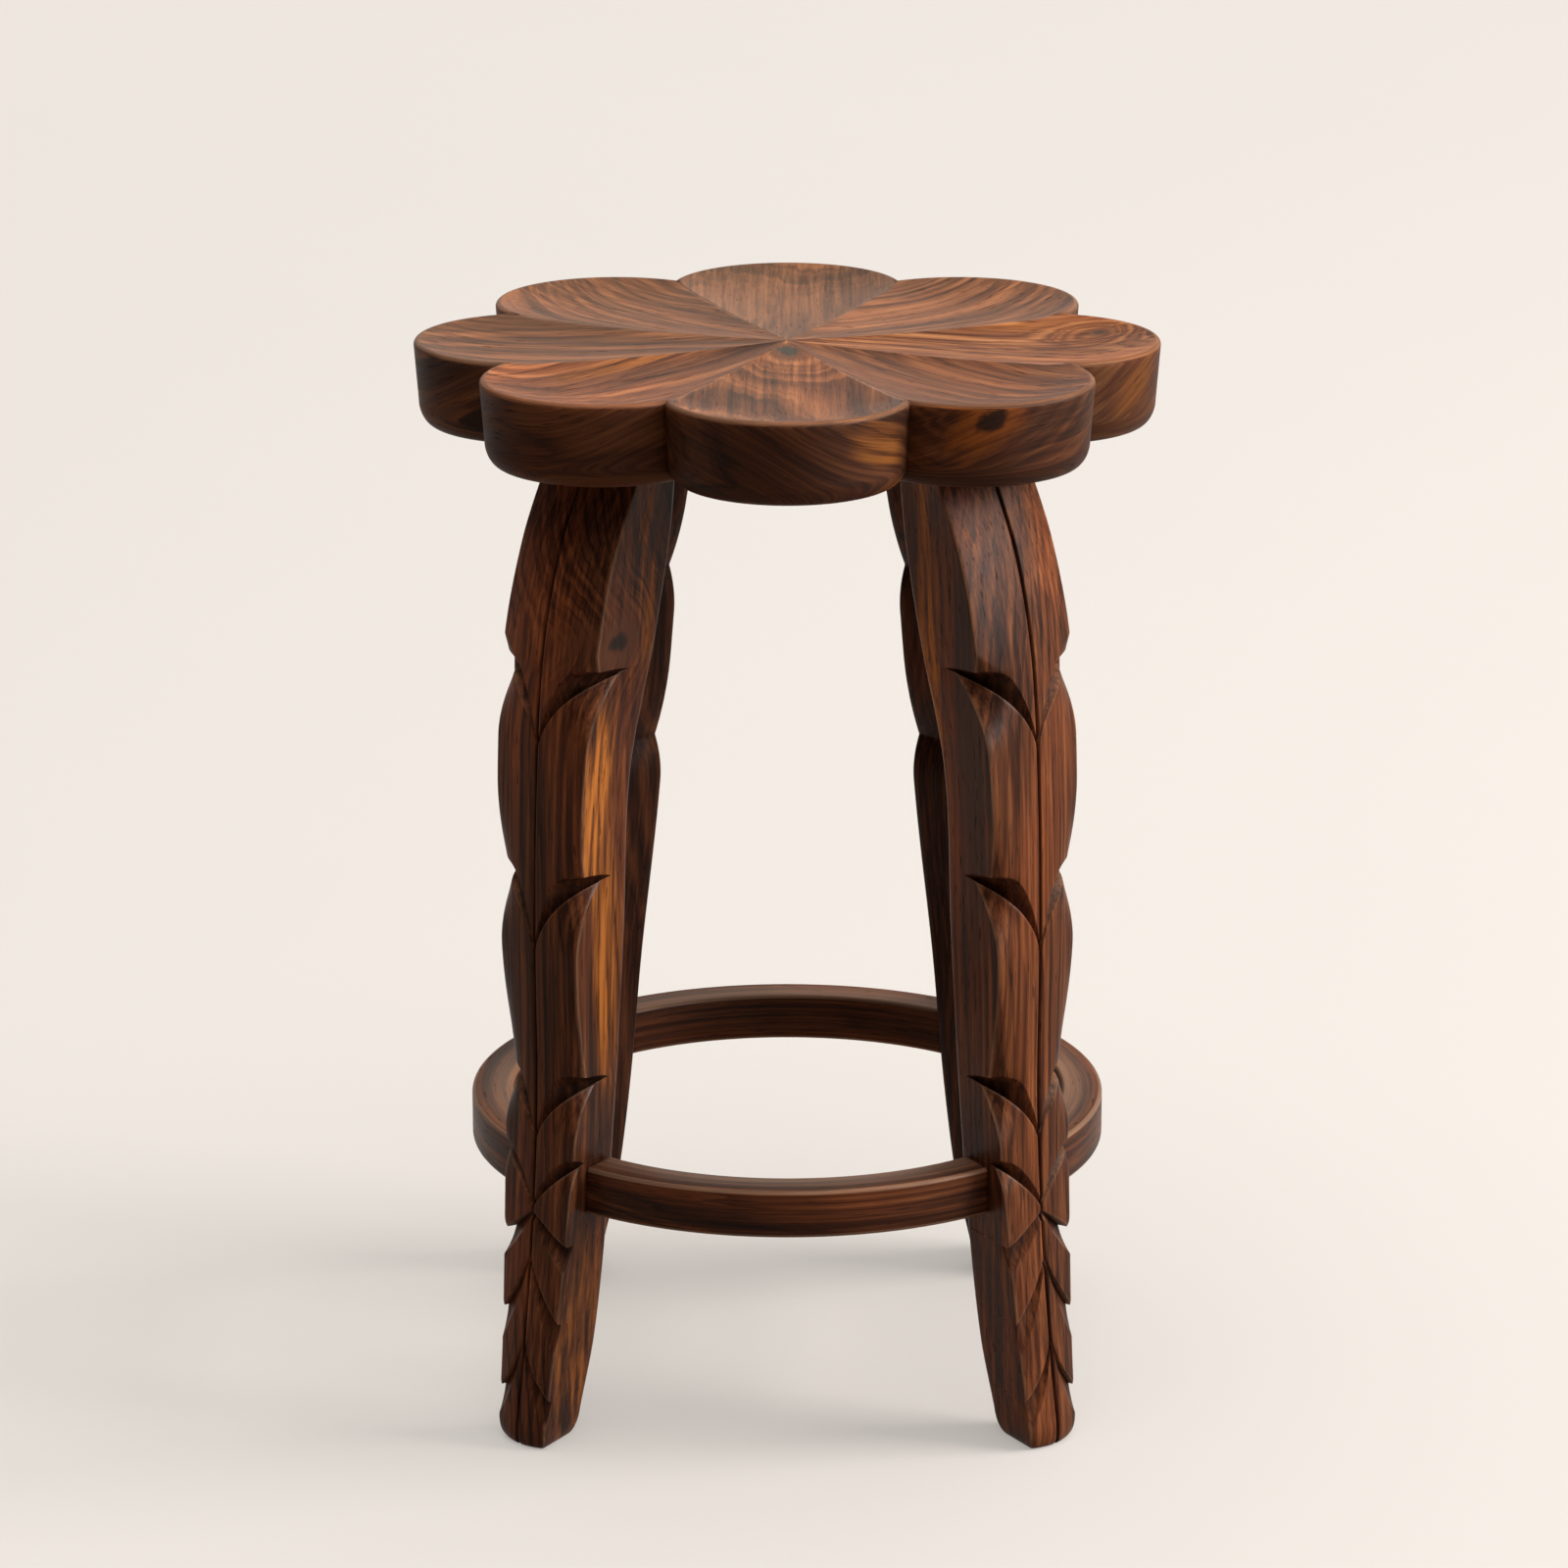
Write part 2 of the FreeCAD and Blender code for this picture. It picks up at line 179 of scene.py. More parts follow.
class NodeSheet:
    """Short calls that add shader nodes to one material."""

    def __init__(self, name: str) -> None:
        """Starts a material with an empty node tree.

        Args:
            name: The material's name.
        """
        self.material = bpy.data.materials.new(name)
        self.material.use_nodes = True
        self.tree = self.material.node_tree
        self.tree.nodes.clear()

    def node(self, kind: str, **settings: object) -> bpy.types.Node:
        """Adds a node.

        Args:
            kind: Blender's node type.
            **settings: Properties to set on it.

        Returns:
            The new node.
        """
        made = self.tree.nodes.new(kind)
        for key, value in settings.items():
            setattr(made, key, value)
        return made

    def feed(self, socket: Socket, value: object) -> None:
        """Links an output to a socket, or sets the socket's own value.

        Args:
            socket: Input of a node.
            value: An output to link, or a plain value.
        """
        if isinstance(value, Socket):
            self.tree.links.new(value, socket)
        else:
            socket.default_value = value

    def math(self, operation: str, *values: object, held: bool = False) -> Socket:
        """Scalar maths.

        Args:
            operation: Blender's name of the sum.
            *values: Outputs or numbers.
            held: Whether the result is held between 0 and 1.

        Returns:
            The result.
        """
        made = self.node("ShaderNodeMath", operation=operation, use_clamp=held)
        for socket, value in zip(made.inputs, values):
            self.feed(socket, value)
        return made.outputs[0]

    def times(self, first: object, second: object) -> Socket:
        """Product of two values."""
        return self.math("MULTIPLY", first, second)

    def plus(self, total: object, value: object, share: float) -> Socket:
        """Total with a share of a value added."""
        return self.math("MULTIPLY_ADD", value, share, total)

    def vector(self, operation: str, *values: object) -> Socket:
        """Vector maths.

        Args:
            operation: Blender's name of the sum.
            *values: Outputs or tuples.

        Returns:
            The result, which is a number for a length.
        """
        made = self.node("ShaderNodeVectorMath", operation=operation)
        for socket, value in zip(made.inputs, values):
            self.feed(socket, value)
        return made.outputs["Value" if operation == "LENGTH" else "Vector"]

    def attribute(self, name: str) -> Socket:
        """Number that the mesh holds at each point."""
        return self.node("ShaderNodeAttribute", attribute_name=name).outputs["Fac"]

    def bare_noise(self, detail: float, rough: float, dimensions: str) -> bpy.types.Node:
        """Adds a noise that is not yet linked to a place.

        Args:
            detail: Levels of detail.
            rough: How rough they are.
            dimensions: Blender's name for its dimensions.

        Returns:
            The node.
        """
        made = self.node("ShaderNodeTexNoise", noise_dimensions=dimensions)
        self.feed(made.inputs["Scale"], 1.0)
        self.feed(made.inputs["Detail"], detail)
        self.feed(made.inputs["Roughness"], rough)
        return made

    def noise(self, place: Socket, kind: Noise, output: str = "Fac") -> Socket:
        """Noise at a place.

        Args:
            place: Where a point lies.
            kind: The noise's turns, detail and roughness.
            output: Name of the output to take.

        Returns:
            A number, or a colour if that output is asked for.
        """
        made = self.bare_noise(kind.detail, kind.rough, "3D")
        self.feed(made.inputs["Vector"], self.vector("MULTIPLY", place, kind.turns))
        return made.outputs[output]

    def line_noise(self, along: Socket, detail: float, rough: float) -> Socket:
        """Noise along a line.

        Args:
            along: Place on the line.
            detail: Levels of detail.
            rough: How rough they are.

        Returns:
            A number.
        """
        made = self.bare_noise(detail, rough, "1D")
        self.feed(made.inputs["W"], along)
        return made.outputs["Fac"]

    def between(self, value: object, low: float, high: float) -> Socket:
        """Smooth rise of a value.

        Args:
            value: Output or number.
            low: Where the rise starts.
            high: Where it ends; it may lie below the start.

        Returns:
            A number from 0 at low to 1 at high.
        """
        made = self.node("ShaderNodeMapRange", interpolation_type="SMOOTHSTEP", clamp=True)
        for key, entry in (("Value", value), ("From Min", low), ("From Max", high)):
            self.feed(made.inputs[key], entry)
        return made.outputs["Result"]

    def ramp(self, value: object, stops: Stops) -> Socket:
        """Colour ramp over a value.

        Args:
            value: Output or number.
            stops: Places on the ramp with their colours.

        Returns:
            The colour.
        """
        made = self.node("ShaderNodeValToRGB")
        elements = made.color_ramp.elements
        while len(elements) < len(stops):
            elements.new(1.0)
        for element, (place, colour) in zip(elements, stops):
            element.position = place
            element.color = (*colour, 1.0)
        self.feed(made.inputs["Fac"], value)
        return made.outputs["Color"]

    def mix(self, share: object, first: object, second: object, blend: str = "MIX") -> Socket:
        """Mix of two colours.

        Args:
            share: Share of the second.
            first: Output or colour.
            second: Output or colour.
            blend: Blender's name for the way they mix.

        Returns:
            The mixed colour.
        """
        made = self.node("ShaderNodeMix", data_type="RGBA", blend_type=blend)
        colours = [socket for socket in made.inputs if socket.type == "RGBA"]
        self.feed(made.inputs[0], share)
        for socket, value in zip(colours, (first, second)):
            self.feed(socket, (*value, 1.0) if isinstance(value, tuple) else value)
        return next(socket for socket in made.outputs if socket.type == "RGBA")

    def finish(self, shader: bpy.types.Node) -> bpy.types.Material:
        """Puts a shader on the surface and hands the material over.

        Args:
            shader: The node whose first output is the surface.

        Returns:
            The finished material.
        """
        output = self.node("ShaderNodeOutputMaterial")
        self.feed(output.inputs["Surface"], shader.outputs[0])
        return self.material


@dataclass(frozen=True)
class Knot:
    """A knot in the wood, placed across, through and along the grain in metres."""

    place: Triple
    radius: float
    swirl: float
    spread: float
    dark: float
    rim: Triple
    heart: Triple = (0.0150, 0.0100, 0.0080)
    squeeze: float = 0.72

    # The outline's fray: turns of its noise to one radius, their share along the grain, the noise's detail
    # and roughness, and how many radii it frays.
    FRAY_TURNS = 0.55
    FRAY_ALONG = 0.7
    FRAY_DETAIL = 4.0
    FRAY_ROUGH = 0.6
    FRAY = 2.4
    # Radii between which rim and heart fade in, and how strong they are.
    RIM = (4.3, 2.6)
    RIM_SHARE = 0.95
    HEART = (2.35, 1.75)
    HEART_SHARE = 0.92

    def fray_noise(self) -> Noise:
        """Noise that frays the outline, in step with the knot's size."""
        turns = self.FRAY_TURNS / self.radius
        return Noise((turns, turns, self.FRAY_ALONG * turns), self.FRAY_DETAIL, self.FRAY_ROUGH)


@dataclass(frozen=True)
class Streak:
    """A golden streak, or a dark one of painted shade: middle and half sizes across, through and along the
    grain in metres.
    """

    place: Triple
    reach: Triple
    strength: float
    flank_only: bool = False
    dark: bool = False

    # The outline's fray, the half sizes between which it fades in, and how its colour follows the wood's.
    FRAY_NOISE = Noise((130.0, 130.0, 8.0), 4.0, 0.6)
    FRAY = 1.3
    OUTLINE = (1.75, 1.05)
    TONE_SHARE = 2.0
    TONE_START = -0.06


@dataclass(frozen=True)
class Cut:
    """What the layers of a finish read: place in the board, the wood's noises and the knots' distances."""

    sheet: NodeSheet
    place: Socket
    board: Socket
    streaks: Socket
    fibres: Socket
    cloud: Socket
    broken: Socket
    distances: list[Socket]


@dataclass(frozen=True)
class Rosewood:
    """Dark figured wood with a satin lacquer, cut from its own board."""

    name: str
    board: Triple
    pith: tuple[float, float]
    tilt: tuple[float, float] = (0.10, 0.04)
    tone: float = 0.0
    contrast: float = 0.21
    red: float = 0.5
    # Share of painted sheen on the seat's tops.
    painted_sheen: float = 0.0
    pores: float = 0.60
    knots: tuple[Knot, ...] = ()
    streaks: tuple[Streak, ...] = ()

    # Colours of the wood from dark to light, of its streaks (the dark one painted shade), and of what lies
    # over it: painted sheen, pores, painted shade with stain, and painted highlight with wear.
    DARK_TO_LIGHT = (
        (0.00, (0.0130, 0.0055, 0.0036)),
        (0.25, (0.0460, 0.0152, 0.0076)),
        (0.50, (0.1330, 0.0440, 0.0178)),
        (0.75, (0.2650, 0.0960, 0.0360)),
        (1.00, (0.4300, 0.1850, 0.0720)),
    )
    GOLD = (
        (0.00, (0.0400, 0.0120, 0.0050)),
        (0.35, (0.1700, 0.0520, 0.0120)),
        (0.70, (0.4700, 0.1430, 0.0240)),
        (1.00, (0.6800, 0.2350, 0.0430)),
    )
    SHADE_STREAK_TONES = (
        (0.00, (0.0080, 0.0042, 0.0030)),
        (1.00, (0.0620, 0.0230, 0.0115)),
    )
    FLUSH = (1.30, 0.88, 0.70)
    # Painted sheen that pales the seat's tops.
    PAINTED_SHEEN_COLOUR = (0.3000, 0.1850, 0.1150)
    PORE = (0.0120, 0.0060, 0.0042)
    # Painted shade, with some stain in carved hollows.
    SHADE_AND_STAIN_COLOUR = (0.0140, 0.0062, 0.0042)
    # Painted highlight, with some wear, on edges.
    HIGHLIGHT_AND_WEAR_COLOUR = (0.4200, 0.2500, 0.1600)

    # Noises of the wood, with turns across, through and along the grain.
    DRIFT_NOISE = Noise((9.0, 9.0, 2.2), 2.0)
    FRAY_NOISE = Noise((140.0, 70.0, 7.0), 3.0)
    PATCH_NOISE = Noise((60.0, 60.0, 9.0), 2.0)
    STREAK_NOISE = Noise((330.0, 140.0, 4.5), 4.0, 0.6)
    FIBRE_NOISE = Noise((1300.0, 560.0, 26.0), 3.0)
    CLOUD_NOISE = Noise((14.0, 14.0, 3.5), 3.0)
    PORE_NOISE = Noise((900.0, 420.0, 55.0), 1.0)

    # Growth rings: width and drift in metres, fray in rings, the bands' detail and roughness, and how many
    # late lines there are to a ring.
    RING = 0.0060
    DRIFT = (0.026, 0.026, 0.0)
    FRAY = 0.9
    BAND_DETAIL = 2.5
    BAND_ROUGH = 0.62
    LATE_LINES = 1.15

    # Values of a noise between which its marks fade in.
    BAND_SPAN = (0.30, 0.70)
    LATE_SPAN = (0.55, 1.0)
    PATCH_SPAN = (0.38, 0.62)
    BREAK_SPAN = (0.38, 0.60)
    FLUSH_SPAN = (0.40, 0.66)
    PORE_SPAN = (0.64, 0.72)
    HIGHLIGHT_BREAK_SPAN = (0.30, 0.70)

    # Shares of the noises in the wood's lightness, and what they come to together on average.
    LATE_SHARE = -0.20
    STREAK_SHARE = 1.12
    FIBRE_SHARE = 0.30
    CLOUD_SHARE = 0.75
    AVERAGE = 0.641
    BREAK_SHARE = 0.55
    HIGHLIGHT_BREAK_SHARE = 0.5

    # Lacquer: its gloss and roughness, the open pores, painted shade with stain in hollows and on the
    # petals' sides, and painted highlight with wear on edges.
    GLOSS = 0.06
    ROUGHNESS = 0.29
    STREAK_ROUGHNESS = 0.22
    PORE_ROUGHNESS = 0.20
    SHADE_AND_STAIN_ROUGHNESS = 0.12
    HIGHLIGHT_AND_WEAR_ROUGHNESS = -0.06
    SHADE_AND_STAIN_SHARE = 0.62
    HIGHLIGHT_AND_WEAR_SHARE = 0.54
    BUMP_STRENGTH = 0.32
    BUMP_HEIGHT = 0.00035
    FIBRE_BUMP = 0.5

    def grain_place(self, sheet: NodeSheet) -> Socket:
        """Where a point lies in the board: across, through and along the grain."""
        return sheet.node("ShaderNodeAttribute", attribute_name=GRAIN).outputs["Vector"]

    def saw(self, sheet: NodeSheet) -> Cut:
        """Makes the outputs that the layers of the finish share.

        Args:
            sheet: Nodes of the material.

        Returns:
            The outputs.
        """
        place = self.grain_place(sheet)
        board = sheet.vector("ADD", place, self.board)
        distances = []
        for knot in self.knots:
            apart = sheet.vector("SUBTRACT", place, knot.place)
            squeezed = sheet.vector("MULTIPLY", apart, (1.0, 1.0, knot.squeeze))
            distances.append(sheet.math("DIVIDE", sheet.vector("LENGTH", squeezed), knot.radius))
        streaks = sheet.noise(board, self.STREAK_NOISE)
        fibres = sheet.noise(board, self.FIBRE_NOISE)
        cloud = sheet.noise(board, self.CLOUD_NOISE)
        broken = sheet.between(streaks, *self.BREAK_SPAN)
        broken = sheet.plus(1 - self.BREAK_SHARE, broken, self.BREAK_SHARE)
        return Cut(sheet, place, board, streaks, fibres, cloud, broken, distances)

    def figure(self, cut: Cut) -> tuple[Socket, Socket]:
        """Growth rings that swirl round the knots.

        Args:
            cut: What the layers share.

        Returns:
            The broad light and dark bands, and the thin dark lines of late wood.
        """
        sheet = cut.sheet
        drift = sheet.noise(cut.board, self.DRIFT_NOISE, "Color")
        drift = sheet.vector("MULTIPLY", sheet.vector("SUBTRACT", drift, (0.5, 0.5, 0.5)), self.DRIFT)
        parts = sheet.node("ShaderNodeSeparateXYZ")
        sheet.feed(parts.inputs[0], sheet.vector("ADD", cut.place, drift))
        squares = []
        for part, tilt, pith in zip(parts.outputs, self.tilt, self.pith):
            offset = sheet.math("SUBTRACT", sheet.plus(part, parts.outputs[2], tilt), pith)
            squares.append(sheet.times(offset, offset))
        rings = sheet.math("DIVIDE", sheet.math("SQRT", sheet.math("ADD", *squares)), self.RING)
        for knot, distance in zip(self.knots, cut.distances):
            square = sheet.times(distance, distance)
            near = sheet.math("EXPONENT", sheet.times(square, -1 / knot.spread ** 2))
            rings = sheet.plus(rings, near, knot.swirl)
        rings = sheet.plus(rings, sheet.noise(cut.board, self.FRAY_NOISE), self.FRAY)
        bands = sheet.between(sheet.line_noise(rings, self.BAND_DETAIL, self.BAND_ROUGH), *self.BAND_SPAN)
        late = sheet.between(sheet.math("FRACT", sheet.times(rings, self.LATE_LINES)), *self.LATE_SPAN)
        patches = sheet.between(sheet.noise(cut.board, self.PATCH_NOISE), *self.PATCH_SPAN)
        return bands, sheet.times(late, patches)

    def build(self) -> bpy.types.Material:
        """Builds the material.

        Returns:
            The finished material.
        """
        sheet = NodeSheet(self.name)
        cut = self.saw(sheet)
        bands, late = self.figure(cut)
        value = sheet.times(bands, self.contrast)
        value = sheet.plus(value, late, self.LATE_SHARE)
        value = sheet.plus(value, cut.streaks, self.STREAK_SHARE)
        value = sheet.plus(value, cut.fibres, self.FIBRE_SHARE)
        value = sheet.plus(value, cut.cloud, self.CLOUD_SHARE)
        value = sheet.math("ADD", value, self.tone - self.AVERAGE - 0.5 * self.contrast)
        colour = sheet.ramp(value, self.DARK_TO_LIGHT)
        flush = sheet.times(sheet.between(cut.cloud, *self.FLUSH_SPAN), self.red)
        colour = sheet.mix(flush, colour, self.FLUSH, "MULTIPLY")
        # Painted sheen: the tops paler along the streaks, less where painted shade lies.
        lit = sheet.times(sheet.math("SUBTRACT", 1.0, sheet.attribute(SHADE_AND_STAIN)), 2 * self.painted_sheen)
        colour = sheet.mix(sheet.times(cut.streaks, lit), colour, self.PAINTED_SHEEN_COLOUR)
        colour = self.add_streaks(cut, value, colour)
        colour = self.add_knots(cut, colour)
        return self.lacquer(cut, colour)

    def add_streaks(self, cut: Cut, value: Socket, colour: Socket) -> Socket:
        """Lays the golden streaks, and the dark streaks of painted shade, over the wood's colour.

        Args:
            cut: What the layers share.
            value: The wood's lightness.
            colour: The wood's colour.

        Returns:
            The colour with the streaks.
        """
        sheet = cut.sheet
        for streak in self.streaks:
            ragged = sheet.noise(cut.board, streak.FRAY_NOISE)
            apart = sheet.vector("SUBTRACT", cut.place, streak.place)
            apart = sheet.vector("DIVIDE", apart, streak.reach)
            distance = sheet.plus(sheet.vector("LENGTH", apart), ragged, streak.FRAY)
            share = sheet.times(sheet.between(distance, *streak.OUTLINE), streak.strength)
            share = sheet.times(share, cut.broken)
            if streak.flank_only:
                share = sheet.times(share, sheet.attribute(FLANK))
            tone = sheet.plus(streak.TONE_START, value, streak.TONE_SHARE)
            # A dark streak is painted shade.
            tint = sheet.ramp(tone, self.SHADE_STREAK_TONES if streak.dark else self.GOLD)
            colour = sheet.mix(share, colour, tint)
        return colour

    def add_knots(self, cut: Cut, colour: Socket) -> Socket:
        """Lays the warm rims and dark hearts of the knots over the wood's colour.

        Args:
            cut: What the layers share.
            colour: The wood's colour.

        Returns:
            The colour with the knots.
        """
        sheet = cut.sheet
        for knot, distance in zip(self.knots, cut.distances):
            frayed = sheet.plus(distance, sheet.noise(cut.board, knot.fray_noise()), knot.FRAY)
            rim = sheet.times(sheet.between(frayed, *knot.RIM), knot.RIM_SHARE * knot.dark)
            colour = sheet.mix(sheet.times(rim, cut.broken), colour, knot.rim)
            heart = sheet.times(sheet.between(frayed, *knot.HEART), knot.HEART_SHARE * knot.dark)
            colour = sheet.mix(heart, colour, knot.heart)
        return colour

    def lacquer(self, cut: Cut, colour: Socket) -> bpy.types.Material:
        """Opens pores, paints shade and stain in hollows, highlights and wear on edges, and lacquers the
        wood.

        Args:
            cut: What the layers share.
            colour: The wood's colour.

        Returns:
            The finished material.
        """
        sheet = cut.sheet
        pores = sheet.between(sheet.noise(cut.board, self.PORE_NOISE), *self.PORE_SPAN)
        colour = sheet.mix(sheet.times(pores, self.pores), colour, self.PORE)
        # Painted shade, with some stain in carved hollows, darkens the wood's colour.
        hollow = sheet.attribute(SHADE_AND_STAIN)
        colour = sheet.mix(sheet.times(hollow, self.SHADE_AND_STAIN_SHARE), colour, self.SHADE_AND_STAIN_COLOUR)
        # Painted highlight with wear on edges, broken up along the streaks.
        wear = sheet.attribute(HIGHLIGHT_AND_WEAR)
        patchy = sheet.plus(1 - self.HIGHLIGHT_BREAK_SHARE, sheet.between(cut.streaks, *self.HIGHLIGHT_BREAK_SPAN), self.HIGHLIGHT_BREAK_SHARE)
        patchy = sheet.times(wear, patchy)
        colour = sheet.mix(sheet.times(patchy, self.HIGHLIGHT_AND_WEAR_SHARE), colour, self.HIGHLIGHT_AND_WEAR_COLOUR)
        roughness = sheet.plus(self.ROUGHNESS, cut.streaks, self.STREAK_ROUGHNESS)
        roughness = sheet.plus(roughness, pores, self.PORE_ROUGHNESS)
        roughness = sheet.plus(roughness, hollow, self.SHADE_AND_STAIN_ROUGHNESS)
        roughness = sheet.math("MULTIPLY_ADD", wear, self.HIGHLIGHT_AND_WEAR_ROUGHNESS, roughness, held=True)
        height = sheet.math("SUBTRACT", sheet.times(cut.fibres, self.FIBRE_BUMP), pores)
        bump = sheet.node("ShaderNodeBump")
        sheet.feed(bump.inputs["Strength"], self.BUMP_STRENGTH)
        sheet.feed(bump.inputs["Distance"], self.BUMP_HEIGHT)
        sheet.feed(bump.inputs["Height"], height)
        shader = sheet.node("ShaderNodeBsdfPrincipled")
        sheet.feed(shader.inputs["Base Color"], colour)
        sheet.feed(shader.inputs["Roughness"], roughness)
        sheet.feed(shader.inputs["Normal"], bump.outputs[0])
        sheet.feed(shader.inputs["Specular IOR Level"], self.GLOSS)
        return sheet.finish(shader)


@dataclass(frozen=True)
class JointWood(Rosewood):
    """Plain wood of the pieces hidden in the joints, read from the object's own place."""

    def grain_place(self, sheet: NodeSheet) -> Socket:
        """Where a point lies in the stool."""
        return sheet.node("ShaderNodeTexCoord").outputs["Object"]


@dataclass
class FlowerSeat:
    """Eight scooped petals about the stool's axis, in millimetres."""

    top: float
    bottom: float
    radius: float
    finishes: dict[str, Rosewood]
    lobe_radius: float = 74.0
    rim_round: float = 3.0
    rim_start: float = -14.0
    side_lean: float = 2.6
    under_reach: float = 10.0
    under_rise: float = 15.0
    centre_drop: float = 1.5
    scoop_depth: float = 8.6
    scoop_power: float = 2.3
    ridge_sag: float = 1.6
    crest_round: float = 0.35
    side_slope: float = 0.26
    side_wave: float = 4.5
    wave_run: float = 21.0
    own_slopes: dict[str, float] = field(default_factory=lambda: {"front": -0.42, "right": 0.45})
    # Factors on the painted shade of single petals.
    own_shades: dict[str, float] = field(default_factory=lambda: {"front_left": 1.25, "front_right": 1.1})
    columns: int = 72
    rows: int = 150

    # Where the top, the rim, the side and the round below it end along a petal's surface.
    TOP_END = 0.60
    RIM_END = 0.68
    SIDE_END = 0.80
    UNDER_END = 0.92
    # Where the painted highlight and wear on the crest and the painted shade in the notch beside a glue
    # line start, and how strong they are.
    CREST_START = 0.97
    CREST_HIGHLIGHT_AND_WEAR = 0.40
    RIM_HIGHLIGHT_AND_WEAR = 0.35
    NOTCH_START = 0.90
    NOTCH_SHADE = 0.60
    # Shares of the rim and of the side between which the painted shade sets in.
    SHADE_START = 0.4
    SHADE_END = 0.2
    # Distances in millimetres that count as none.
    MERGE = 0.002
    ON_AXIS = 0.001
    TINY = 1e-6

    @property
    def half_angle(self) -> float:
        """Half of one petal's share of the turn."""
        return math.pi / len(self.finishes)

    @property
    def lobe_centre(self) -> float:
        """Distance of a lobe's middle from the axis."""
        return self.radius - self.lobe_radius

    def outline(self, angle: float, inset: float) -> float:
        """Distance from the axis to a petal's edge.

        Args:
            angle: Direction from the petal's middle line.
            inset: How far the lobe has drawn in.

        Returns:
            The distance from the axis.
        """
        reach = self.lobe_radius - inset
        side = self.lobe_centre * math.sin(angle)
        return self.lobe_centre * math.cos(angle) + math.sqrt(max(reach * reach - side * side, 0.0))

    def scoop(self, x: float, y: float, rim_radius: float, rim_top: float) -> float:
        """Height of the hollow at a place in a petal's own plan.

        Args:
            x: Distance along the petal's middle line.
            y: Distance beside it.
            rim_radius: Lobe radius at which the hollow ends.
            rim_top: Height at which it ends.

        Returns:
            The height.
        """
        centre = self.lobe_centre
        if x >= centre:
            share = math.hypot(x - centre, y) / rim_radius
            return rim_top - self.scoop_depth * (1 - share ** self.scoop_power)
        run = x / centre
        middle = self.top - self.centre_drop
        floor = lerp(middle, rim_top - self.scoop_depth, math.sin(math.pi / 2 * run))
        half_width = max(x * math.tan(self.half_angle), self.TINY)
        widest = centre * math.tan(self.half_angle) / rim_radius
        ridge_end = rim_top - self.scoop_depth * (1 - widest ** self.scoop_power)
        ridge = lerp(middle, ridge_end, run) - self.ridge_sag * math.sin(math.pi * run)
        return floor + (ridge - floor) * min(abs(y) / half_width, 1.0) ** self.scoop_power

    def top_point(self, across: float, share: float) -> tuple[Vector, float, float]:
        """One point of a petal's scooped top.

        Args:
            across: From -1 on one glue line to 1 on the other.
            share: From 0 at the stool's axis to 1 at the rim.

        Returns:
            The point, its painted shade, and its painted highlight and wear.
        """
        angle = across * self.half_angle
        start = math.radians(self.rim_start)
        inset = self.rim_round * (1 - math.sin(start))
        rim_top = self.top - self.rim_round * (1 - math.cos(start))
        reach = self.outline(angle, inset) * share
        x, y = reach * math.cos(angle), reach * math.sin(angle)
        z = self.scoop(x, y, self.lobe_radius - inset, rim_top)
        # Painted highlight and wear along the crest at each glue line.
        crest = clamp((abs(across) - self.CREST_START) / (1 - self.CREST_START))
        return Vector((x, y, z - self.crest_round * crest * crest)), 0.0, crest * self.CREST_HIGHLIGHT_AND_WEAR

    def point(self, across: float, along: float) -> tuple[Vector, float, float]:
        """One point of a petal that lies along +X.

        Args:
            across: From -1 on one glue line to 1 on the other.
            along: From 0 at the middle of the top, over the rim, to 1 at the middle of the underside.

        Returns:
            The point, its painted shade, and its painted highlight and wear.
        """
        if along < self.TOP_END:
            return self.top_point(across, along / self.TOP_END)
        wear = 0.0
        inset = self.side_lean + self.under_reach
        z = self.bottom
        if along < self.RIM_END:
            share = (along - self.TOP_END) / (self.RIM_END - self.TOP_END)
            turn = lerp(math.radians(self.rim_start), math.pi / 2, share)
            inset = self.rim_round * (1 - math.sin(turn))
            z = self.top - self.rim_round * (1 - math.cos(turn))
            # Painted highlight and wear along the rim.
            wear = self.RIM_HIGHLIGHT_AND_WEAR * math.sin(math.pi * share)
        elif along < self.SIDE_END:
            share = (along - self.RIM_END) / (self.SIDE_END - self.RIM_END)
            inset = self.side_lean * share
            z = lerp(self.top - self.rim_round, self.bottom + self.under_rise, share)
        elif along < self.UNDER_END:
            turn = math.pi / 2 * (along - self.SIDE_END) / (self.UNDER_END - self.SIDE_END)
            inset = self.side_lean + self.under_reach * (1 - math.cos(turn))
            z = self.bottom + self.under_rise * (1 - math.sin(turn))
        angle = across * self.half_angle
        reach = self.outline(angle, inset)
        notch = soft_step(self.NOTCH_START, 1.0, abs(across))
        if along >= self.UNDER_END:
            reach *= 1 - (along - self.UNDER_END) / (1 - self.UNDER_END)
            notch = 0.0
        # Painted shade: darker from the rim down the side and under, and in the notch beside each glue
        # line.
        shade_start = lerp(self.TOP_END, self.RIM_END, self.SHADE_START)
        shade_end = lerp(self.RIM_END, self.SIDE_END, self.SHADE_END)
        shade = max(self.NOTCH_SHADE * notch, soft_step(shade_start, shade_end, along))
        return Vector((reach * math.cos(angle), reach * math.sin(angle), z)), shade, wear

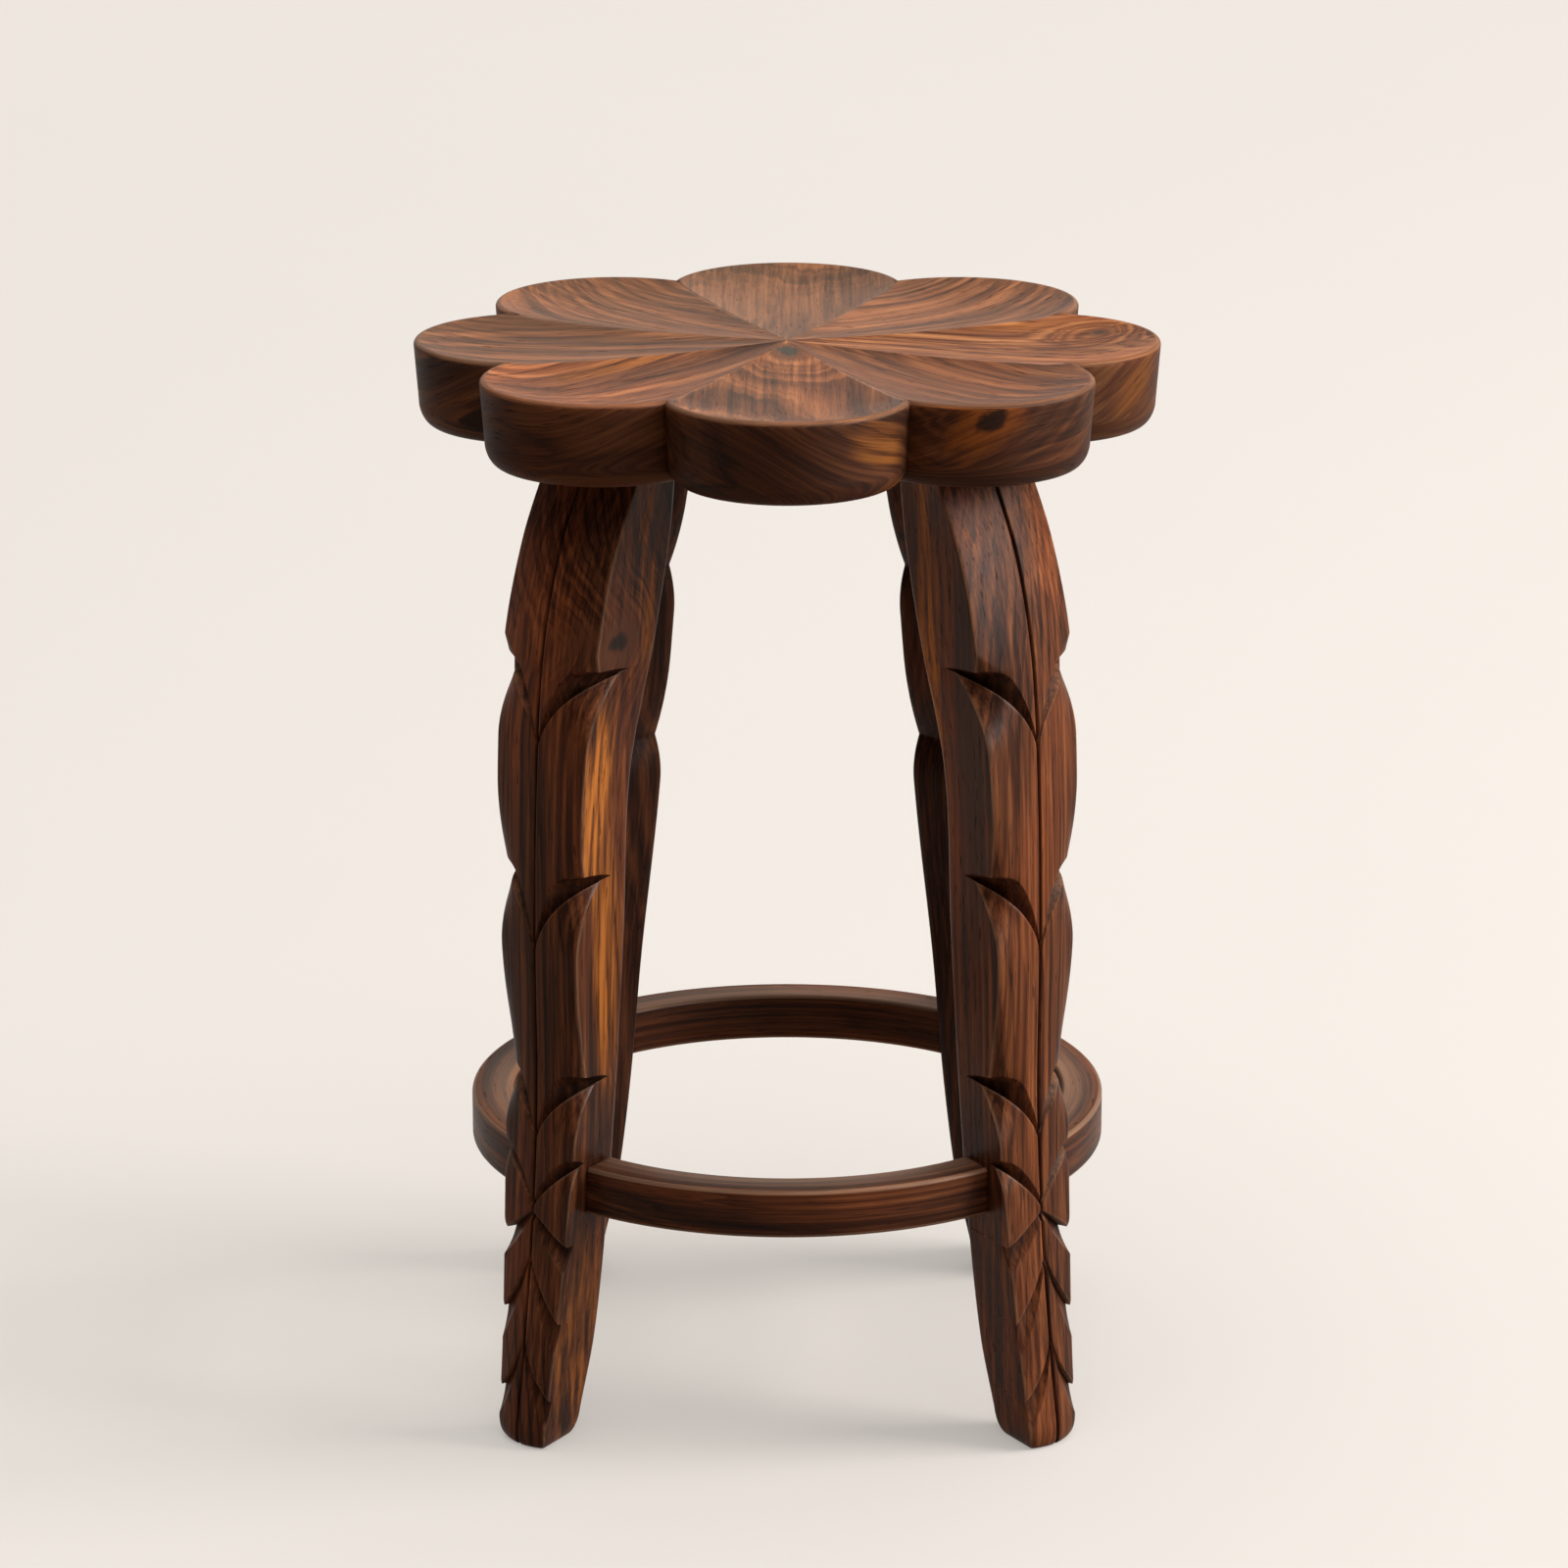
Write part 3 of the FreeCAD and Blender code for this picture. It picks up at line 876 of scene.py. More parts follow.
    def grain_at(self, name: str, spot: Vector, along: float) -> Vector:
        """Where a point lies in the board: lengthwise on top, following the rim on the sides.

        Args:
            name: Where the petal lies.
            spot: Point of a petal that lies along +X.
            along: Its place along the petal's surface, as for the points themselves.

        Returns:
            The place across, through and along the grain.
        """
        rise = spot.z - self.bottom
        lengthwise = Vector((spot.y, rise, spot.x))
        out = Vector((spot.x - self.lobe_centre, spot.y))
        sweep = math.atan2(out.y, out.x) * self.lobe_radius
        slope = self.own_slopes.get(name, self.side_slope)
        level = rise - slope * sweep + self.side_wave * math.sin(sweep / self.wave_run)
        rimwise = Vector((level, out.length - self.lobe_radius, sweep + self.lobe_centre))
        turned = soft_step(self.TOP_END, self.RIM_END, along)
        turned *= 1 - soft_step(self.SIDE_END, self.UNDER_END, along)
        return lengthwise.lerp(rimwise, turned)

    def close_walls(self, bm: bmesh.types.BMesh) -> None:
        """Fills the two glue faces, which meet at the stool's axis.

        Args:
            bm: A petal's top, sides and underside, along +X.
        """
        ends = [vert for vert in bm.verts if math.hypot(vert.co.x, vert.co.y) < self.ON_AXIS]
        axis = bmesh.ops.contextual_create(bm, geom=ends)["edges"]
        for side in (1, -1):
            wall = [edge for edge in open_edges(bm) if side * sum(vert.co.y for vert in edge.verts) > 0]
            bmesh.ops.edgeloop_fill(bm, edges=wall + axis)
        close_mesh(bm)

    def build_petal(self, name: str, turn: float) -> bpy.types.Object:
        """Builds one petal.

        Args:
            name: Where the petal lies.
            turn: Its direction about the axis.

        Returns:
            The petal.
        """
        sheet = Sheet(self.columns, self.rows)
        for vert, (column, row) in sheet.places.items():
            vert.co, shade, vert[sheet.wear] = self.point(2 * column - 1, row)
            # The layer named hollow holds painted shade here.
            vert[sheet.hollow] = shade * self.own_shades.get(name, 1.0)
            vert[sheet.grain] = self.grain_at(name, vert.co, row) * MM
        sheet.merge(self.MERGE)
        self.close_walls(sheet.bm)
        finish = self.finishes[name].build()
        return place_piece(sheet.bm, "seat_petal_" + name, "petal_" + name, turn, finish)

    def build(self) -> list[bpy.types.Object]:
        """Builds all petals, counted from the right towards the back."""
        step = 2 * self.half_angle
        return [self.build_petal(name, step * index) for index, name in enumerate(self.finishes)]


@dataclass(frozen=True)
class LegLevel:
    """A level of a leg: share of its length, distances from the leg circle and width across the leaves."""

    share: float
    midrib: float
    edge: float
    inner: float
    rear_inner: float
    width: float


@dataclass(frozen=True)
class Scallop:
    """A notch across a rear leg's inner face: share of the leg's length, depth and how far it runs out."""

    share: float
    depth: float
    above: float
    below: float

    def sink(self, share_height: float, length: float) -> float:
        """Depth of the notch at a height.

        Args:
            share_height: The height as a share of the leg's length.
            length: The leg's length.

        Returns:
            The depth.
        """
        offset = (share_height - self.share) * length
        run = offset / self.above if offset > 0 else -offset / self.below
        return self.depth * clamp(1 - run) ** 2


@dataclass(frozen=True)
class Leaflet:
    """A carved leaflet boundary, in shares of the leg's length and in millimetres."""

    midrib: float
    edge: float
    curve: float
    mid_depth: float
    edge_depth: float
    mid_length: float
    edge_length: float
    swell: float
    depth_swell: float
    tip_length: float
    near_tip: float
    far_tip: float
    taper: float = 0.0
    taper_length: float = 1.0
    taper_power: float = 2.0
    ledge: float = 0.0

    COVE_ROUND = 0.6
    RIM_DROP = 0.35
    RIM_LENGTH = 3.0
    LIP_LENGTH = 1.7
    LEDGE_RUN = 60.0
    NEAR_BEND = 3.0
    FAR_BEND = 5.0
    TAPER_BEND = 4.0

    @property
    def facing(self) -> float:
        """1 where the hollow lies above the boundary, -1 where it lies below."""
        return math.copysign(1.0, self.edge - self.midrib)

    def boundary(self, across: float) -> float:
        """Share of the leg's length at which the boundary lies."""
        return lerp(self.midrib, self.edge, across ** self.curve)

    def length(self, across: float) -> float:
        """Length of the hollow down the leg."""
        return lerp(self.mid_length, self.edge_length, across) + self.swell * 4 * across * (1 - across)

    def cove(self, across: float, distance: float, bend: float) -> float:
        """Depth of the gouged hollow.

        Args:
            across: Share of the half width from the midrib.
            distance: Distance from the boundary.
            bend: How far the leaflet beside the hollow bends back at the boundary.

        Returns:
            The depth below the uncarved face.
        """
        share = distance / self.length(across)
        if share >= 1:
            return 0.0
        depth = lerp(self.mid_depth, self.edge_depth, across)
        depth += self.depth_swell * 4 * across * (1 - across)
        return (depth + bend) * (1 - share) * (1 + self.COVE_ROUND * share)

    def draw_in(self, across: float, distance: float) -> float:
        """How far the leaf on the hollow's side draws in towards its own tip."""
        run = clamp(1 - distance / self.taper_length)
        return self.taper * across ** self.TAPER_BEND * run ** self.taper_power

    def bend(self, across: float, below_tip: float, near: bool) -> float:
        """How far the leaflet bends back towards its own tip.

        Args:
            across: Share of the half width from the midrib.
            below_tip: Distance down the leaflet from the height of its tip.
            near: Whether the half faces the stool's front or back.

        Returns:
            The depth below the uncarved face.
        """
        run = clamp(1 - below_tip / self.tip_length) ** 2
        if near:
            return run * (self.near_tip * across ** self.NEAR_BEND)
        return run * (self.far_tip * across ** self.FAR_BEND)

    def below_tip(self, share: float, leg_length: float) -> float:
        """Distance from the height of the leaflet's tip to a share of the leg's length."""
        return self.facing * (self.edge - share) * leg_length

    def rim(self, distance: float) -> float:
        """Rounding of the leaflet's rim at a distance from the boundary."""
        return self.RIM_DROP * clamp(1 - distance / self.RIM_LENGTH) ** 2

    def shelf(self, share: float, leg_length: float) -> float:
        """How far the flank below the boundary is set back under the leaf above.

        Args:
            share: Height as a share of the leg's length.
            leg_length: The leg's length.

        Returns:
            The distance, which is 0 above the boundary.
        """
        below = (self.edge - share) * leg_length
        if below < 0:
            return 0.0
        return self.ledge * clamp(1 - below / self.LEDGE_RUN) ** 2


@dataclass(frozen=True)
class CarvedLine:
    """A row of points round a leg: level, along a leaflet's boundary, or along its hollow's far arris."""

    level: float = 0.0
    leaflet: Leaflet | None = None
    arris: bool = False

    @property
    def boundary(self) -> Leaflet | None:
        """The leaflet whose boundary the line is."""
        return None if self.arris else self.leaflet

    def height(self, across: float, leg_length: float) -> float:
        """Height of the line.

        Args:
            across: Share of the half width from the midrib.
            leg_length: The leg's length.

        Returns:
            The height above the floor.
        """
        if self.leaflet is None:
            return self.level
        height = self.leaflet.boundary(across) * leg_length
        if self.arris:
            height += self.leaflet.facing * self.leaflet.length(across)
        return height


@dataclass(frozen=True)
class Stretch:
    """Rows between two carved lines, with the nearest leaflet boundaries below and above."""

    start: CarvedLine
    end: CarvedLine
    low: Leaflet | None
    high: Leaflet | None

    def tall(self, across: float, leg_length: float) -> float:
        """Height of the stretch at a share of the half width from the midrib."""
        return self.end.height(across, leg_length) - self.start.height(across, leg_length)


@dataclass(frozen=True)
class LegPlace:
    """Where a leg stands: name and turn, whether it is a rear one, and which half faces front or back."""

    name: str
    turn: float
    rear: bool
    near_half: float


@dataclass
class CarvedLegs:
    """Four legs carved with overlapping leaflets about a midrib, in millimetres."""

    length: float
    finishes: dict[str, Rosewood]
    circle_radius: float = 143.0
    front_inner_share: float = 0.55
    rear_inner_share: float = 1.0
    midrib_width: float = 3.0
    midrib_depth: float = 4.2
    toe_height: float = 16.0
    toe_round: float = 6.0
    toe_spread: float = 2.5
    edge_round: float = 1.6
    inner_round: float = 3.6
    rear_draw: float = 10.0
    row_height: float = 1.9
    fewest_rows: int = 5
    columns: int = 132
    # Each level's share of the length, its midrib, edge, inner and rear inner distances, and its width.
    levels: tuple[LegLevel, ...] = (
        LegLevel(0.026, 92.5, 88.0, 48.5, 48.5, 42.0),
        LegLevel(0.100, 86.5, 82.5, 37.5, 37.5, 47.0),
        LegLevel(0.214, 79.0, 76.0, 29.0, 29.0, 55.0),
        LegLevel(0.362, 73.5, 69.5, 22.0, 22.0, 64.0),
        LegLevel(0.526, 73.5, 69.5, 15.0, 8.0, 67.5),
        LegLevel(0.691, 70.5, 67.0, 11.0, 0.0, 76.0),
        LegLevel(0.822, 64.0, 57.5, -8.5, -7.0, 82.0),
        LegLevel(0.921, 49.5, 42.0, -22.0, -20.0, 80.5),
        LegLevel(1.000, 28.0, 20.0, -28.0, -28.0, 80.0),
    )
    scallops: tuple[Scallop, ...] = (Scallop(0.794, 8.0, 44.0, 30.0), Scallop(0.607, 8.5, 56.0, 30.0))
    # Each boundary's heights at midrib and edge and its curve; the hollow's depths, lengths and swells;
    # the length of the leaflet's tip and how far it bends back on either half; how the leaf draws in.
    leaflets: tuple[Leaflet, ...] = (
        Leaflet(0.132, 0.053, 0.45, 2.0, 3.2, 4.0, 18.0, 4.0, 1.5, 5.0, 0.4, 0.4),
        Leaflet(0.207, 0.135, 0.65, 2.0, 3.4, 4.0, 20.0, 4.0, 1.5, 5.0, 0.4, 0.4),
        Leaflet(0.247, 0.216, 1.00, 2.0, 6.5, 5.0, 17.0, 2.0, 2.0, 8.0, 2.0, 2.0),
        Leaflet(0.247, 0.299, 0.75, 2.0, 3.5, 4.0, 6.0, 4.0, 2.0, 20.0, 8.0, 4.0, 2.0, 18.0),
        Leaflet(0.308, 0.380, 0.50, 2.0, 4.0, 4.0, 7.0, 11.0, 3.5, 38.0, 20.0, 14.0, 12.0, 86.0, 1.8),
        Leaflet(0.505, 0.592, 0.50, 2.0, 4.0, 4.0, 7.0, 10.0, 4.0, 46.0, 24.0, 15.0, 8.0, 58.0, 2.0),
        Leaflet(0.714, 0.803, 0.50, 2.0, 4.0, 4.0, 5.5, 10.0, 4.0, 46.0, 27.0, 16.0, 7.0, 16.0, 1.0, 1.5),
    )

    # Where the leaf face and the flank end round half of the section; the inner face takes the rest.
    FACE_END = 0.58
    SIDE_END = 0.88
    # How far rounded edges give way: across the face, along it, and at the inner corner.
    EDGE_ACROSS = 0.45
    EDGE_ALONG = 0.25
    CORNER_IN = 0.5
    CORNER_SIDE = 0.7
    # Share of the flank that carving may take, and shares of it over which a shelf runs out.
    DEEPEST = 0.7
    SHELF_SPAN = (0.45, 0.80)
    # Shares of the length over which a rear leg's leaves draw in.
    REAR_DRAW_SPAN = (0.70, 0.86)
    # Depths that count as deep and slight for painted shade and painted highlight, and how strong these
    # are.
    DEEP_CUT = 5.5
    SLIGHT_CUT = 1.5
    GROOVE_SPREAD = 1.6
    GROOVE_SHADE = 1.4
    LIP_HIGHLIGHT = 0.8
    CORNER_HIGHLIGHT_SPAN = (0.35, 0.95)
    # Shares of the half width at which the rows of a stretch are counted, and points that count as one.
    COUNTED_AT = (0.0, 0.5, 1.0)
    MERGE = 0.004

    def level_at(self, height: float) -> LegLevel:
        """The leg's envelope at a height.

        Args:
            height: Height above the floor.

        Returns:
            The envelope, led smoothly through the given levels.
        """
        share = height / self.length
        last = len(self.levels) - 1
        index = 0
        while index < last - 1 and share > self.levels[index + 1].share:
            index += 1
        start, end = self.levels[index], self.levels[index + 1]
        before, after = self.levels[max(index - 1, 0)], self.levels[min(index + 2, last)]
        step = end.share - start.share
        part = (share - start.share) / step
        square, cube = part * part, part * part * part

        def led(key: str) -> float:
            """Smooth value of one size between the two nearest levels.

            Args:
                key: Name of the size.

            Returns:
                The value.
            """
            first, second = getattr(start, key), getattr(end, key)
            lead = step * (second - getattr(before, key)) / (end.share - before.share)
            tail = step * (getattr(after, key) - first) / (after.share - start.share)
            return ((2 * cube - 3 * square + 1) * first + (cube - 2 * square + part) * lead
                    + (3 * square - 2 * cube) * second + (cube - square) * tail)

        return LegLevel(share, led("midrib"), led("edge"), led("inner"), led("rear_inner"), led("width"))

    def stretches(self) -> list[Stretch]:
        """Stretches of rows between the carved lines.

        Returns:
            The stretches from the floor up.
        """
        lines = [CarvedLine()]
        for leaflet in self.leaflets:
            pair = [CarvedLine(leaflet=leaflet), CarvedLine(leaflet=leaflet, arris=True)]
            lines += pair if leaflet.facing > 0 else pair[::-1]
        lines.append(CarvedLine(self.length))
        found = []
        for index in range(1, len(lines)):
            below = [line.boundary for line in lines[:index] if line.boundary]
            above = [line.boundary for line in lines[index:] if line.boundary]
            low = below[-1] if below else None
            high = above[0] if above else None
            found.append(Stretch(lines[index - 1], lines[index], low, high))
        return found

    def carve(self, across: float, height: float, stretch: Stretch, near: bool) -> Triple:
        """Depth of the carving between two boundaries.

        Args:
            across: Share of the half width from the midrib.
            height: Height above the floor.
            stretch: The stretch of rows in which the point lies.
            near: Whether the half faces the stool's front or back.

        Returns:
            The whole depth, the part of it that lies in a gouged hollow, and how near a leaflet's lip is.
        """
        hollow = drawn = rounded = lip = 0.0
        for leaflet, side in ((stretch.low, 1.0), (stretch.high, -1.0)):
            if leaflet is None:
                continue
            boundary = leaflet.boundary(across)
            distance = max(side * (height - boundary * self.length), 0.0)
            if side == leaflet.facing:
                bend = leaflet.bend(across, leaflet.below_tip(boundary, self.length), near)
                hollow = max(hollow, leaflet.cove(across, distance, bend))
                drawn = max(drawn, leaflet.draw_in(across, distance))
            else:
                bend = leaflet.bend(across, leaflet.below_tip(height / self.length, self.length), near)
                rounded = max(rounded, bend + leaflet.rim(distance))
                lip = max(lip, clamp(1 - distance / leaflet.LIP_LENGTH))
        return max(hollow + drawn, rounded), hollow, lip

    def outline(self, height: float, rear: bool) -> tuple[float, Vector, Vector]:
        """The uncarved section at a height.

        Args:
            height: Height above the floor.
            rear: Whether the leg is a rear one.

        Returns:
            Reach of the midrib, the leaf edge's corner and the inner corner, for a leg that faces +X.
        """
        level = self.level_at(max(height, self.levels[0].share * self.length))
        drop = clamp(1 - height / self.toe_height)
        inset = self.toe_round * (1 - math.sqrt(max(1 - drop * drop, 0.0)))
        base = self.circle_radius + self.toe_spread * drop
        half = level.width / 2 - inset
        inner = base + (level.rear_inner if rear else level.inner) + inset
        if rear:
            inner += sum(scallop.sink(level.share, self.length) for scallop in self.scallops)
            base -= self.rear_draw * soft_step(*self.REAR_DRAW_SPAN, level.share)
        inner_half = half * (self.rear_inner_share if rear else self.front_inner_share)
        edge = Vector((base + level.edge - inset, half))
        return base + level.midrib - inset, edge, Vector((inner, inner_half))

    def point(self, place: float, height: float, stretch: Stretch, leg: LegPlace
              ) -> tuple[Vector, float, float, float]:
        """One point of a leg whose leaves face +X.

        Args:
            place: From -1 to 1 round the section, 0 at the midrib and both ends at the inner face.
            height: Height above the floor.
            stretch: The stretch of rows in which the point lies.
            leg: Where the leg stands.

        Returns:
            The point, its painted shade and stain, its painted highlight, and how far it belongs to the
            flank.
        """
        sign = math.copysign(1.0, place)
        part = abs(place)
        midrib, edge, corner = self.outline(height, leg.rear)
        side_length = (edge - corner).length
        depth, _, _ = self.carve(1.0, height, stretch, sign == leg.near_half)
        carved_edge = edge + (corner - edge) / side_length * min(depth, self.DEEPEST * side_length)
        if part <= self.FACE_END:
            across = ease(part / self.FACE_END)
            cut, hollow, lip = self.carve(across, height, stretch, sign == leg.near_half)
            shortfall = max(depth - (edge - carved_edge).length, 0.0)
            x = midrib - (midrib - edge.x) * across ** 2 - max(cut - shortfall * across, 0.0)
            y = across * lerp(edge.y, carved_edge.y, across)
            groove = clamp(1 - y / (self.midrib_width / 2))
            near = clamp(1 - (1 - across) * edge.y / self.edge_round)
            x -= self.midrib_depth * groove + self.EDGE_ACROSS * near * near
            y -= self.EDGE_ALONG * near * near
            # Painted shade, with some stain, in the gouged hollows, and painted shade in the midrib
            # groove.
            groove_shade = self.GROOVE_SHADE * clamp(groove * self.GROOVE_SPREAD)
            shade = max(clamp(hollow / self.DEEP_CUT), groove_shade)
            # Painted highlight on the leaf edges and on the leaflets' lips, none in the hollows.
            painted_highlight = clamp(1 - hollow / self.SLIGHT_CUT) * max(near, self.LIP_HIGHLIGHT * lip * across)
            return Vector((x, sign * y, height)), shade, painted_highlight, 0.0
        if part <= self.SIDE_END:
            share = ease((part - self.FACE_END) / (self.SIDE_END - self.FACE_END))
            spot = carved_edge.lerp(corner, share)
            near = clamp(1 - (spot - carved_edge).length / self.edge_round)
            far = clamp(1 - (spot - corner).length / self.inner_round)
            set_back = stretch.high.shelf(height / self.length, self.length) if stretch.high else 0.0
            set_back *= 1 - soft_step(*self.SHELF_SPAN, (spot - edge).length / side_length)
            x = spot.x - self.EDGE_ALONG * near * near + self.CORNER_IN * far * far
            y = spot.y - self.EDGE_ACROSS * near * near - self.CORNER_SIDE * far * far - set_back
            # Painted highlight on the leaf edge and along the inner corner.
            painted_highlight = max(near, soft_step(*self.CORNER_HIGHLIGHT_SPAN, far))
            return Vector((x, sign * y, height)), 0.0, painted_highlight, 1.0
        share = ease((part - self.SIDE_END) / (1 - self.SIDE_END))
        y = lerp(corner.y, 0.0, share)
        near = clamp(1 - (corner.y - y) / self.inner_round)
        x = corner.x + self.CORNER_IN * near * near
        return Vector((x, sign * (y - self.CORNER_SIDE * near * near), height)), 0.0, 0.0, 0.0

    def build_leg(self, leg: LegPlace) -> bpy.types.Object:
        """Builds one leg.

        Args:
            leg: Where the leg stands.

        Returns:
            The leg.
        """
        rows = []
        for stretch in self.stretches():
            tallest = max(stretch.tall(across, self.length) for across in self.COUNTED_AT)
            count = max(int(tallest / self.row_height), self.fewest_rows)
            rows += [(stretch, ease(step / count)) for step in range(count + 1)]
        sheet = Sheet(self.columns, len(rows) - 1)
        for vert, (column, row) in sheet.places.items():
            place = 2 * column - 1
            across = ease(min(abs(place) / self.FACE_END, 1.0))
            stretch, share = rows[round(row * sheet.rows)]
            start = stretch.start.height(across, self.length)
            height = lerp(start, stretch.end.height(across, self.length), share)
            spot = self.point(place, height, stretch, leg)
            vert.co, vert[sheet.hollow], vert[sheet.wear], vert[sheet.flank] = spot
            vert[sheet.grain] = Vector((vert.co.y, vert.co.x - self.circle_radius, vert.co.z)) * MM
        sheet.merge(self.MERGE)
        close_mesh(sheet.bm)
        finish = self.finishes[leg.name].build()
        node = "leg_" + leg.name
        return place_piece(sheet.bm, "carved_" + node, node, leg.turn, finish)

    def build(self) -> list[bpy.types.Object]:
        """Builds all legs.

        Returns:
            The legs, from the back right one towards the left.
        """
        step = 2 * math.pi / len(self.finishes)
        pieces = []
        for index, name in enumerate(self.finishes):
            near_half = 1.0 if index % 2 == 0 else -1.0
            leg = LegPlace(name, step * (index + 0.5), name.startswith("back"), near_half)
            pieces.append(self.build_leg(leg))
        return pieces


@dataclass
class Footrest:
    """Four arcs of a round footrest between the legs, in millimetres."""

    top: float
    bottom: float
    outer_radius: float
    legs: CarvedLegs
    finishes: dict[str, Rosewood]
    width: float = 26.0
    edge_round: float = 2.6
    round_steps: int = 5
    steps: int = 72
    rear_ends: dict[str, tuple[bool, bool]] = field(default_factory=lambda: {
        "back": (True, True), "left": (True, False), "front": (False, False), "right": (False, True)})

    @property
    def middle_height(self) -> float:
        """Height of an arc's middle above the floor."""
        return (self.top + self.bottom) / 2

    @property
    def middle_radius(self) -> float:
        """Distance of an arc's middle from the axis."""
        return self.outer_radius - self.width / 2

    def leg_side(self, rear: bool) -> tuple[Vector, Vector]:
        """The plane of a leg's side face beside the footrest, for a leg that faces +X.

        Args:
            rear: Whether the leg is a rear one.

        Returns:
            A point of the plane and its normal.
        """
        corners = []
        for height in (self.bottom, self.top):
            _, edge, corner = self.legs.outline(height, rear)
            corners += [Vector((*edge, height)), Vector((*corner, height))]
        outer, inner, above, _ = corners
        normal = (inner - outer).cross(above - outer).normalized()
        return outer, normal if normal.y > 0 else -normal

    def sweep_arc(self, bm: bmesh.types.BMesh, name: str) -> None:
        """Sweeps the rounded section round a quarter turn and cuts its ends to the legs' sides.

        Args:
            bm: Empty mesh to shape.
            name: Side of the stool on which the arc lies.
        """
        quarter = math.pi / 2
        section = Matrix.Translation((self.middle_radius, 0, self.middle_height))
        section @= Matrix.Rotation(quarter, 4, "X")
        section @= Matrix.Diagonal((self.width, self.top - self.bottom, 1, 1))
        bmesh.ops.create_grid(bm, x_segments=1, y_segments=1, size=0.5, matrix=section)
        bmesh.ops.bevel(bm, geom=bm.verts[:], affect="VERTICES", offset=self.edge_round,
                        segments=self.round_steps, profile=0.5, material=-1)
        bmesh.ops.spin(bm, geom=bm.verts[:] + bm.edges[:] + bm.faces[:], cent=(0, 0, 0), axis=(0, 0, 1),
                       angle=quarter, steps=self.steps)
        mirror = Matrix.Rotation(quarter, 3, "Z") @ Matrix.Diagonal((1, -1, 1))
        for rear, seen in zip(self.rear_ends[name], (Matrix.Identity(3), mirror)):
            place, facing = self.leg_side(rear)
            geometry = bm.verts[:] + bm.edges[:] + bm.faces[:]
            bmesh.ops.bisect_plane(bm, geom=geometry, plane_co=seen @ place, plane_no=seen @ facing,
                                   clear_inner=True)
        close_mesh(bm)

    def build_arc(self, name: str, turn: float) -> bpy.types.Object:
        """Builds one arc from a leg round to the next.

        Args:
            name: Side of the stool on which the arc lies.
            turn: Direction of the leg at which it starts.

        Returns:
            The arc.
        """
        bm = bmesh.new()
        self.sweep_arc(bm, name)
        grain = bm.verts.layers.float_vector.new(GRAIN)
        wear = bm.verts.layers.float.new(HIGHLIGHT_AND_WEAR)
        bm.verts.layers.float.new(SHADE_AND_STAIN)
        flat_width = self.width / 2 - self.edge_round
        flat_height = (self.top - self.bottom) / 2 - self.edge_round
        for vert in bm.verts:
            out = math.hypot(vert.co.x, vert.co.y) - self.middle_radius
            sweep = math.atan2(vert.co.y, vert.co.x) * self.middle_radius
            vert[grain] = Vector((vert.co.z - self.bottom, out, sweep)) * MM
            # Painted highlight and wear on the rounded edges.
            rounded = abs(out) > flat_width and abs(vert.co.z - self.middle_height) > flat_height
            vert[wear] = 1.0 if rounded else 0.0
        finish = self.finishes[name].build()
        return place_piece(bm, "footrest_arc_" + name, "footrest_" + name, turn, finish)

    def build(self) -> list[bpy.types.Object]:
        """Builds all arcs, counted from the back one towards the left."""
        step = 2 * math.pi / len(self.finishes)
        return [self.build_arc(name, step * (index + 0.5)) for index, name in enumerate(self.finishes)]


@dataclass
class HiddenJoints:
    """Splines and loose tenons inside the joints, which stay as the frame has them."""

    nodes: dict[str, bpy.types.Object]
    finish: JointWood

    PREFIXES = ("seat_spline", "footrest_tenon")

    def dress(self) -> list[bpy.types.Object]:
        """Gives every hidden piece its wood.

        Returns:
            The pieces.
        """
        material = self.finish.build()
        pieces = [node for name, node in self.nodes.items() if name.startswith(self.PREFIXES)]
        for piece in pieces:
            piece.data.materials.clear()
            piece.data.materials.append(material)
        return pieces


@dataclass(frozen=True)
class StudioPaper:
    """Pale seamless paper with a faint mottle."""

    colour: Triple = (0.590, 0.566, 0.540)
    glow: Triple = (0.990, 0.935, 0.880)
    glow_share: float = 0.33
    thrown_back: Triple = (0.22, 0.17, 0.13)
    mottle: float = 0.02
    mottle_noise: Noise = Noise((1.3, 1.3, 1.3), 3.0)

    def build(self) -> bpy.types.Material:
        """Builds the material, whose even glow is for sight and reflections, and lights nothing.

        Returns:
            The finished material.
        """
        sheet = NodeSheet("studio_paper")
        place = sheet.node("ShaderNodeTexCoord").outputs["Object"]
        cloud = sheet.noise(place, self.mottle_noise)
        darker = tuple(part * (1 - self.mottle) for part in self.colour)
        path = sheet.node("ShaderNodeLightPath").outputs
        mirrored = sheet.math("MAXIMUM", path["Is Glossy Ray"], path["Is Transmission Ray"])
        seen = sheet.math("MAXIMUM", path["Is Camera Ray"], mirrored)
        paper = sheet.node("ShaderNodeBsdfDiffuse")
        pale = sheet.mix(cloud, self.colour, darker)
        sheet.feed(paper.inputs["Color"], sheet.mix(seen, self.thrown_back, pale))
        glow = sheet.node("ShaderNodeEmission")
        sheet.feed(glow.inputs["Color"], (*self.glow, 1.0))
        mixed = sheet.node("ShaderNodeMixShader")
        sheet.feed(mixed.inputs[0], sheet.times(seen, self.glow_share))
        sheet.feed(mixed.inputs[1], paper.outputs[0])
        sheet.feed(mixed.inputs[2], glow.outputs[0])
        return sheet.finish(mixed)


